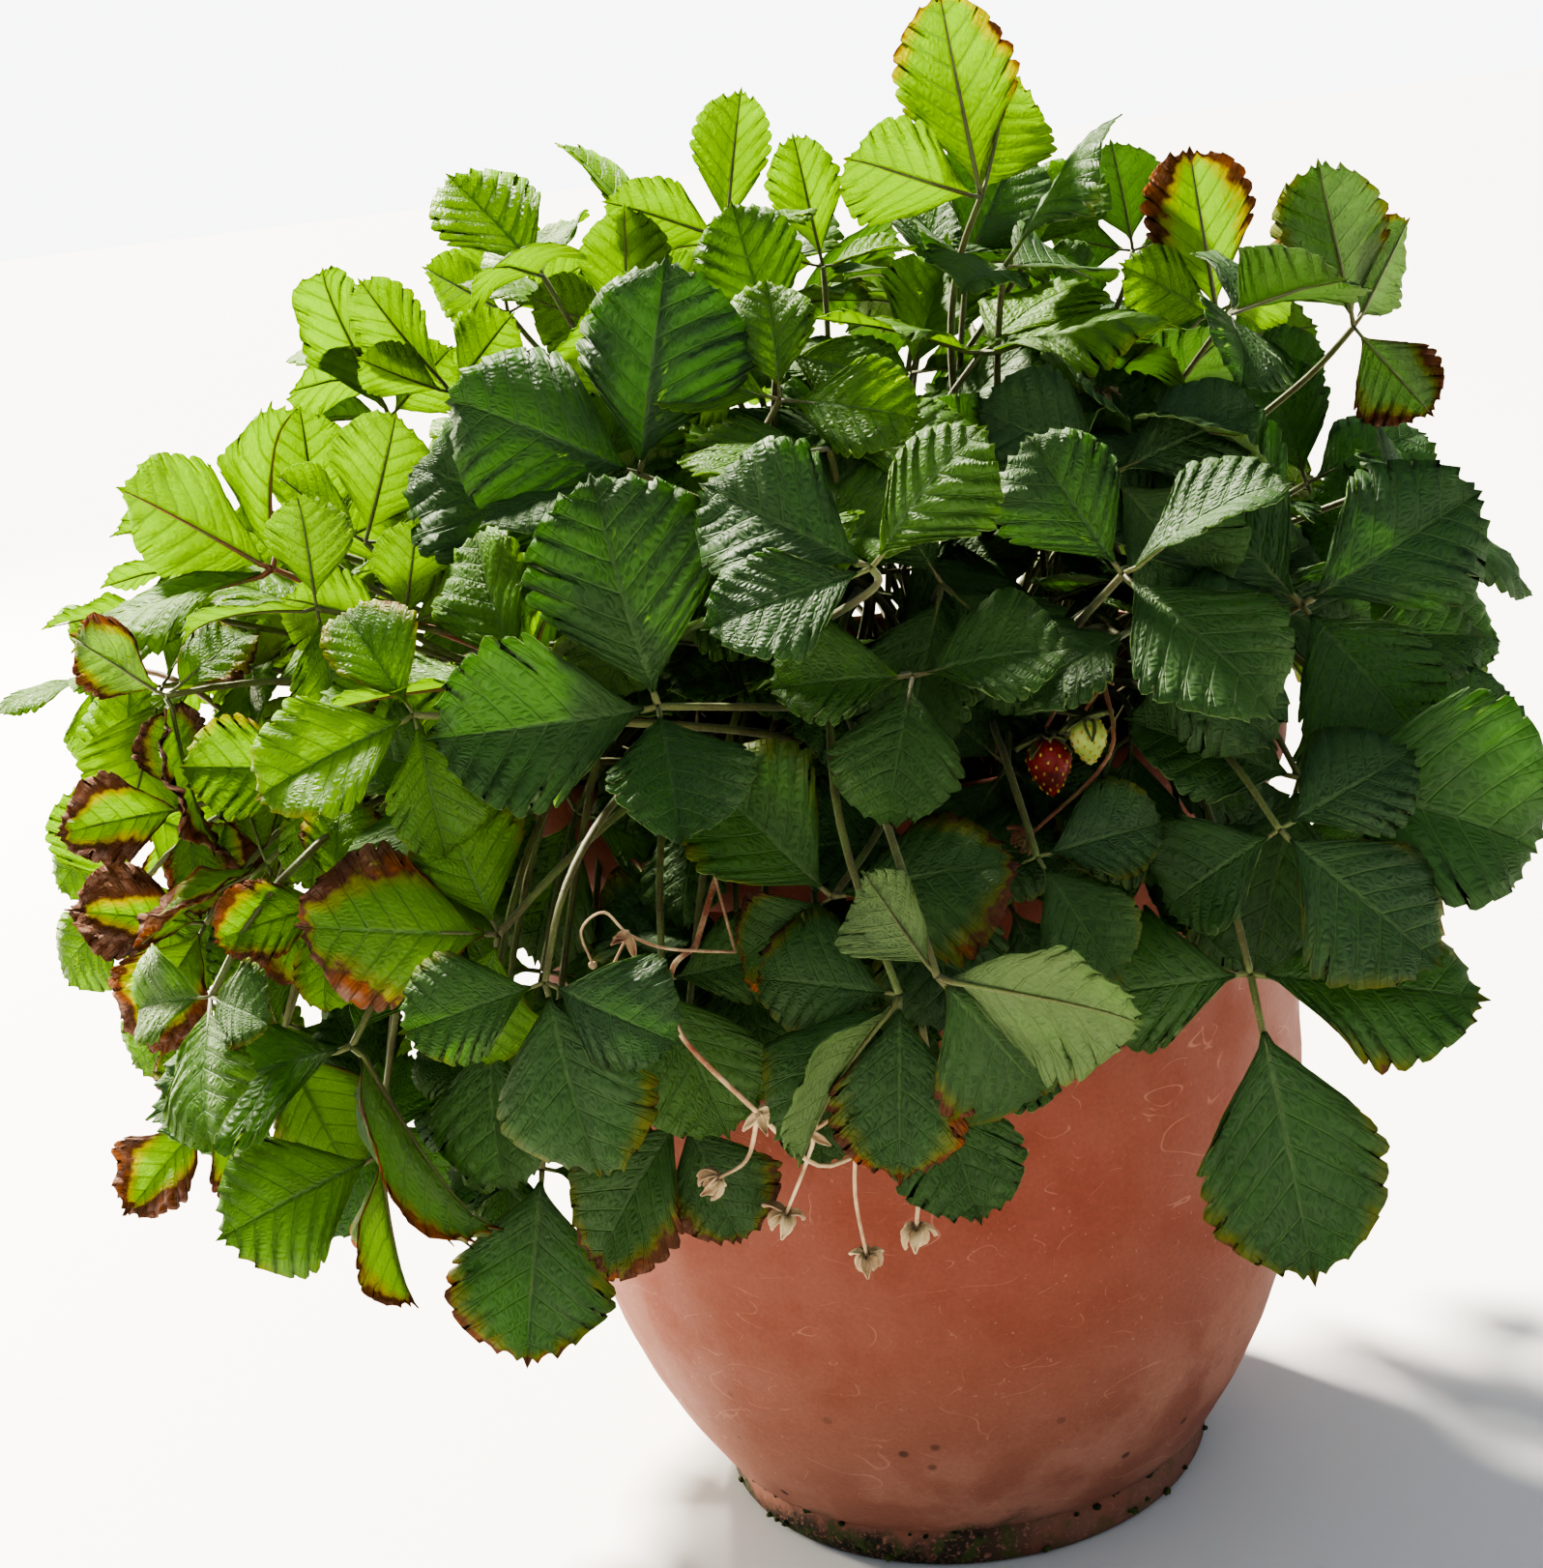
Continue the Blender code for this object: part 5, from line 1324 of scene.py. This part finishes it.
barkBrown = makeStalkMaterial("crownBark", rgb(126, 92, 62), rgb(70, 48, 34), 0.9, 0.2)
for crown, (cx, cy) in crowns.items():
    rng = random.Random(crown)
    seat = soilTop(math.hypot(cx, cy)) + 0.4
    pieces = [makeBlob((cx, cy, seat + 9), 9.5, (1, 1, 1.35), 0.25, cx)]
    for k in range(22):
        turn, level = k * 2.4, k / 22
        out = Vector((math.cos(turn), math.sin(turn), 0))
        start = Vector((cx, cy, seat + 1 + 13 * level)) + out * (9 - 4.5 * level)
        pieces.append(makePetal(start, out * 0.35 + Vector((0, 0, 1)), out * -1, rng.uniform(9, 13),
                                rng.uniform(7, 9), rng.uniform(-25, 40), 0.45, 0.5))
    whole = merged(pieces, crown + "_scales")
    paint(whole, 0.25)
    place(dress(whole, barkBrown), "crown", crown)
print("crowns made")


calyxSize = {"sepals": 9, "long": 6.6, "wide": 3.2, "core": 2.1}


def makeCalyx(spot, ahead, rng, scale=1.0, curl=(60, 170), core=True):
    # pointed sepals round a shrivelled core, hanging along that way
    ahead = unit(ahead)
    across = ahead.orthogonal().normalized()
    over = ahead.cross(across)
    start = Vector(spot)
    pieces = []
    for k in range(calyxSize["sepals"]):
        turn = math.tau * k / calyxSize["sepals"] + rng.uniform(-0.2, 0.2)
        out = across * math.cos(turn) + over * math.sin(turn)
        far = rng.uniform(0.75, 1.1) * scale
        long, wide = calyxSize["long"] * far, calyxSize["wide"] * far
        pieces.append(makePetal(start + out * 1.1 * scale, out + ahead * rng.uniform(-0.5, 0.4), ahead * -1,
                                long, wide, rng.uniform(*curl), 0.35, 0.3))
    if core:
        size = calyxSize["core"] * scale
        pieces.append(makeBlob(start + ahead * 1.6 * scale, size, (1, 1, 0.9), 0.5, spot[0]))
    return pieces


# how each truss is finished; those not named are green stalks
trussFinish = {
    "dried_truss": {"dry": True, "red": 0.9, "fade": (205, 240), "calyx": 0.95},
    "dried_stalks": {"dry": True, "red": 0.35, "slim": 0.65, "calyx": 0},
    "fruit_truss": {"red": 0.75},
}


def makeTruss(name, thick, path, branches, calyces):
    finish = trussFinish.get(name, {})
    rng = random.Random(name)
    stem = smoothLine(routes[name]) if routes[name] else [Vector(path[0])]
    stem = stem[:-1] + throughLine([stem[-1]] + [Vector(p) for p in path[1:]])
    thick *= finish.get("slim", 1)
    lines = [(stem, thick * 0.85, thick * 0.5)]
    pieces = []
    for branch in branches:
        # bracts where a branch leaves
        lines.append((throughLine(branch), thick * 0.6, thick * 0.4))
        way = unit(Vector(branch[1]) - Vector(branch[0]))
        pieces.append(makeBlob(branch[0], thick * 0.95, (1, 1, 1), 0.5, branch[0][0]))
        for sideways, rise in ((1, 0.2), (-1, -0.2), (0.3, 0.5)):
            away = way.orthogonal() * sideways + way * 1.1 + Vector((0, -0.3, rise))
            pieces.append(makePetal(branch[0], away, (0, -1, 0.5), rng.uniform(4.5, 7.5), 2.2,
                                    rng.uniform(-30, 50), 0.4))
    for line in [path] + branches:
        if line[-1] in calyces:
            scale = finish.get("calyx", 0.8)
            if scale:
                pieces += makeCalyx(line[-1], unit(Vector(line[-1]) - Vector(line[-2])), rng, scale)
            else:
                pieces.append(makeBlob(line[-1], 1.1, (1, 1, 1), 0.4, 2))
    stalks = stalkCurve(name + "Line", lines, 2)
    whole = merged([stalks] + pieces, name + "_fine")
    paint(whole, finish.get("red", 0.2), fade=finish.get("fade"))
    dry = finish.get("dry", False)
    return place(dress(whole, stalkDry if dry else stalkGreen), "dry_stalk" if dry else "leaf", name)


for truss in trusses:
    makeTruss(*truss)
print("stalks made")


def makeFlesh(name, main, second, rough):
    material, sheet, shader = makeMaterial(name)
    where = sheet.add("TexCoord").outputs["Object"]
    colour = sheet.blend(sheet.step(sheet.noise(where, 130.0, 3.0), 0.4, 0.7), main, second)
    sheet.finish(shader, colour, sheet.noise(where, 800.0, 2.0), 0.3, 0.0004,
                 {"Roughness": rough, "Subsurface Weight": 0.2, "Subsurface Scale": 0.003})
    return material


def makeBerry(name, flesh, slotName):
    (x, y, z), wide, tall = berries[name]
    rng = random.Random(name)
    rings = 14
    profile = []
    for t in [i / rings for i in range(rings + 1)]:
        radius = wide * math.sin(math.pi * min(1, t * 0.93 + 0.05)) ** 0.75 * (1.08 - 0.55 * t)
        profile.append((radius if 0 < t < 1 else 0, tall / 2 - tall * t))
    body = turnedBody(name + "Body", profile, 24)
    body.data.transform(Matrix.Translation(Vector((x, y, z)) * mm))
    only(body)
    bpy.ops.object.shade_smooth()
    dress(body, flesh)
    seeds = []
    for k in range(56):
        t = 0.12 + 0.8 * (k + 0.5) / 56
        turn = k * 2.39996
        r = np.interp(t * rings, range(rings + 1), [p[0] for p in profile])
        seeds.append(makeBlob((x + r * math.cos(turn), y + r * math.sin(turn), z + tall / 2 - tall * t),
                              0.55, (0.8, 0.8, 1.2), 0, 0, 1))
    seeds = dress(merged(seeds, name + "Seeds"), seedMaterial)
    sepals = makeCalyx((x, y, z + tall / 2 - 0.6), (0, 0, -1), rng, 1.15, (10, 70), False)
    calyx = merged(sepals, name + "Calyx")
    paint(calyx, 0.1)
    dress(calyx, stalkGreen)
    return place(merged([body, seeds, calyx], name + "_fine"), slotName, name)


seedMaterial = makeFlesh("berrySeeds", rgb(196, 170, 80), rgb(150, 110, 50), 0.5)
makeBerry("berry_green", makeFlesh("unripeFlesh", rgb(168, 184, 96), rgb(196, 196, 132), 0.5), "unripe_berry")
makeBerry("berry_red", makeFlesh("ripeFlesh", rgb(140, 34, 24), rgb(96, 24, 20), 0.5), "ripe_berry")
print("berries made")
bpy.data.objects.remove(petalMaster)


# how single leaves differ, one value or one per leaflet: age dries the margin, tint is young and yellow
# and also painted light (high on the lit top and left, low on the shaded right), fold shuts a leaflet along
# its midrib (degrees)
leafLooks = {
    "leaf_front_1": {"tint": 0.22, "fold": (18, 22, 14), "wave": 0.035, "lift": (0, 0, 0.3)},
    "leaf_front_2": {"tint": 0.12, "fold": (10, 20, 18), "pleat": (1, 1.5, 1), "lift": (0.2, 0.8, 0)},
    "leaf_front_3": {"tint": (0.1, 0.35, 0.1), "fold": (12, 6, 12), "pleat": (1, 2.0, 1),
                     "cup": (0.02, 0.12, 0.03), "lift": (0, 0.7, 0.3)},
    "leaf_front_4": {"tint": (0.2, 0.1, 0.1), "age": (0.05, 0, 0.1), "lift": (0.5, 0, 0.8)},
    "leaf_front_5": {"tint": 0.85, "fold": (36, 16, 20), "red": 0.5},
    "leaf_front_6": {"tint": 0.2, "age": (0.4, 0.6, 0.8)},
    "leaf_front_7": {"tint": 0.3},
    "leaf_front_8": {"tint": 0.05, "age": (0.2, 0.45, 0.1)},
    "leaf_top_1": {"tint": 0.85, "fold": (14, 18, 18), "wave": 0.04},
    "leaf_top_2": {"tint": 0.9, "age": (0.62, 0.2, 0.2), "fold": (22, 10, 20), "width": (0.72, 0.85, 0.9)},
    "leaf_top_3": {"tint": 0.95, "fold": 30},
    "leaf_top_4": {"tint": 0.95, "fold": (50, 24, 20), "width": (0.8, 0.95, 1)},
    "leaf_top_5": {"tint": 0.9, "fold": (48, 24, 20), "width": (0.8, 0.95, 1)},
    "leaf_top_6": {"tint": 0.95, "fold": (40, 24, 20)}, "leaf_top_7": {"tint": 0.5},
    "leaf_right_1": {"tint": 0.02, "age": 0.02}, "leaf_right_2": {"tint": 0.02, "age": 0.02},
    "leaf_right_3": {"tint": 0.05, "age": (0.1, 0.05, 0.35)}, "leaf_right_4": {"tint": 0.04, "age": 0.1},
    "leaf_right_5": {"tint": 0.7, "age": (0.85, 0.1, 0.3), "fold": (34, 20, 16), "width": (0.8, 1, 1)},
    "leaf_right_6": {"tint": 0.1, "age": (0.5, 0.5, 0.8), "fold": (40, 30, 20), "crumple": 0.4},
    "leaf_low_1": {"tint": 0.06, "age": (0.42, 0.1, 0.55), "fold": (8, 14, 14), "width": (0.88, 0.95, 0.95),
                   "droop": (10, 15, 22)},
    "leaf_low_2": {"tint": 0.15, "age": (0.7, 0.6, 0.3), "fold": (10, 12, 60)},
    "leaf_low_3": {"tint": 0.15, "age": (0.5, 0.35, 0.2)},
    "leaf_low_4": {"tint": 0.12, "age": (0.12, 0.75, 0.2), "fold": (12, 62, 10), "pleat": (1.5, 1, 1),
                   "lift": (0.3, 0, 0)},
    "leaf_low_5": {"tint": 0.08, "age": (0.6, 0.4, 0.3)},
    "leaf_low_6": {"tint": (0.3, 0.5, 0.3), "age": (0.35, 0.85, 0.2), "fold": (14, 58, 10),
                   "pleat": (1.6, 1, 1), "lift": (0.3, 0, 0)},
    "leaf_low_7": {"tint": 0.1, "age": (0.08, 0.5, 0.1), "fold": (8, 16, 10), "pleat": (0.6, 1, 1)},
    "leaf_low_8": {"tint": 0.15, "age": (0.65, 0.7, 0.4)},
    "leaf_left_1": {"tint": 0.9, "fold": (12, 40, 26), "red": 0.85},
    "leaf_left_2": {"tint": 1.0, "age": (0.95, 0.55, 0.4), "crumple": (0.5, 0.3, 0.2)},
    "leaf_left_3": {"tint": 0.98, "fold": (50, 26, 16), "width": (0.75, 0.85, 1)},
    "leaf_left_4": {"tint": 0.9, "fold": (50, 22, 14), "width": (0.75, 0.85, 1)},
    "leaf_left_5": {"tint": 0.85}, "leaf_left_6": {"tint": 0.6, "age": (0.3, 0.5, 0.2)},
    "leaf_left_7": {"tint": 0.9, "age": (0.4, 0.6, 0.3)},
    "leaf_left_8": {"tint": 0.8, "age": (1.15, 1.0, 0.8), "crumple": 0.9},
    "leaf_left_9": {"tint": 0.8, "age": (1.3, 1.1, 0.9), "crumple": 1.0},
    "leaf_more_4": {"tint": 0.05}, "leaf_more_6": {"age": (0.2, 0.3, 0.6)},
    "leaf_more_7": {"age": (1.1, 0.9, 0.7), "crumple": 0.9},
    "leaf_more_13": {"age": (1.2, 0.9, 1.0), "crumple": 0.9, "tint": 0.9},
    "leaf_more_14": {"age": (1.2, 1.1, 0.7), "crumple": 1.0, "tint": 0.9},
    "leaf_more_19": {"age": (0.9, 0.6, 0.5), "crumple": 0.5, "tint": 0.9},
}


def growLeaf(row, suffix="", kind="fine"):
    name, _, *leaflets = row
    hub = hubs[name]
    look = dict(leafLooks.get(name, {}))
    rng = random.Random(name + "look")
    # the tint rises with height and towards the left, where the key light comes from: painted light on the
    # lit side of the plant
    high = min(1.0, max(0.0, 0.22 + 0.0022 * (hub.z - 330) - 0.0022 * hub.x + rng.uniform(-0.12, 0.12)))
    look.setdefault("tint", high)
    if hub.z < 285 and rng.random() < 0.6:
        look.setdefault("age", (rng.uniform(0, 0.7), rng.uniform(0, 0.6), rng.uniform(0, 0.6)))
    return makeLeaf(name + suffix, hub, routes[name], leaflets, look, kind)


for row in framedLeaves:
    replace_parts(growLeaf(row, "_fine"), row[0])
for i, row in enumerate(moreLeaves + deepLeaves):
    growLeaf(row, kind="fine" if i < leafShape["fineMore"] else "plain")
for i in range(0, len(fillLeaves), 3):
    group = [growLeaf(row, kind="plain") for row in fillLeaves[i:i + 3]]
    place(merged(group, f"leaf_group_{i // 3 + 1}"), "leaf")
print("leaves made")


def makeRunner():
    name, path = runner
    way = routes[name] + [Vector(p) for p in path[1:]]
    return makeLeaf(name + "_fine", Vector(path[-1]), way, plantlet, {"red": 0.5, "tint": 0.6})


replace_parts(makeRunner(), "runner")
for made in masters.values():
    bpy.data.objects.remove(made[0])


def makeStage():
    bpy.ops.mesh.primitive_plane_add(size=60, location=(0, 0, -0.0005))
    floor = bpy.context.object
    floor.name = "floor"
    material, sheet, shader = makeMaterial("paleFloor")
    shader.inputs["Base Color"].default_value = (0.62, 0.61, 0.60, 1)
    shader.inputs["Roughness"].default_value = 0.8
    dress(floor, material)
    world = bpy.data.worlds.new("studio")
    bpy.context.scene.world = world
    world.use_nodes = True
    # lit by a soft blue sky, seen as a brighter white one
    sheet = Sheet(world.node_tree)
    light = world.node_tree.nodes["Background"]
    light.inputs[0].default_value = (0.80, 0.90, 1.0, 1)
    light.inputs[1].default_value = 0.65
    seen = sheet.add("Background", {0: (0.97, 0.98, 1.0, 1), 1: 2.8})
    direct = sheet.add("LightPath").outputs["Is Camera Ray"]
    mix = sheet.add("MixShader", {0: direct, 1: light.outputs[0], 2: seen.outputs[0]})
    sheet.wire(mix.outputs[0], world.node_tree.nodes["World Output"].inputs[0])


def addLamp(kind, name, spot, target, power, colour, **settings):
    bpy.ops.object.light_add(type=kind, location=spot)
    lamp = bpy.context.object
    lamp.name = name
    for key, value in {"energy": power, "color": colour, **settings}.items():
        setattr(lamp.data, key, value)
    lamp.rotation_euler = (Vector(target) - Vector(spot)).to_track_quat("-Z", "Y").to_euler()


camera = {"spot": (0, -0.770, 0.4731), "ahead": (-0.05305, 0.96114, -0.27092),
          "up": (0.11059, 0.27529, 0.95498), "lens": 53.27}


def makeCamera():
    bpy.ops.object.camera_add(location=camera["spot"])
    view = bpy.context.object
    view.name = "frontView"
    ahead, up = unit(camera["ahead"]), unit(camera["up"])
    right = ahead.cross(up).normalized()
    up = right.cross(ahead)
    view.matrix_world = Matrix.Translation(camera["spot"]) @ Matrix((right, up, -ahead)).transposed().to_4x4()
    view.data.lens = camera["lens"]
    view.data.sensor_width = 36
    view.data.clip_start = 0.01
    bpy.context.scene.camera = view


bpy.context.scene.view_settings.look = "AgX - High Contrast"
for setting, value in {"max_bounces": 4, "diffuse_bounces": 2, "glossy_bounces": 1, "transmission_bounces": 2,
                       "adaptive_threshold": 0.05, "adaptive_min_samples": 12}.items():
    setattr(bpy.context.scene.cycles, setting, value)
makeStage()
addLamp("SUN", "key", (-0.66, 1.12, 1.52), (0, 0, 0), 17, (1.0, 0.94, 0.82), angle=math.radians(6))
addLamp("AREA", "rim", (-2.1, 1.5, 0.5), (-0.1, 0, 0.2), 120, (1.0, 0.9, 0.74), shape="DISK", size=0.4)
addLamp("AREA", "fill", (0.2, -2.3, 1.9), (0, 0, 0.25), 7.5, (0.86, 0.93, 1.0), shape="DISK", size=2.2)
makeCamera()
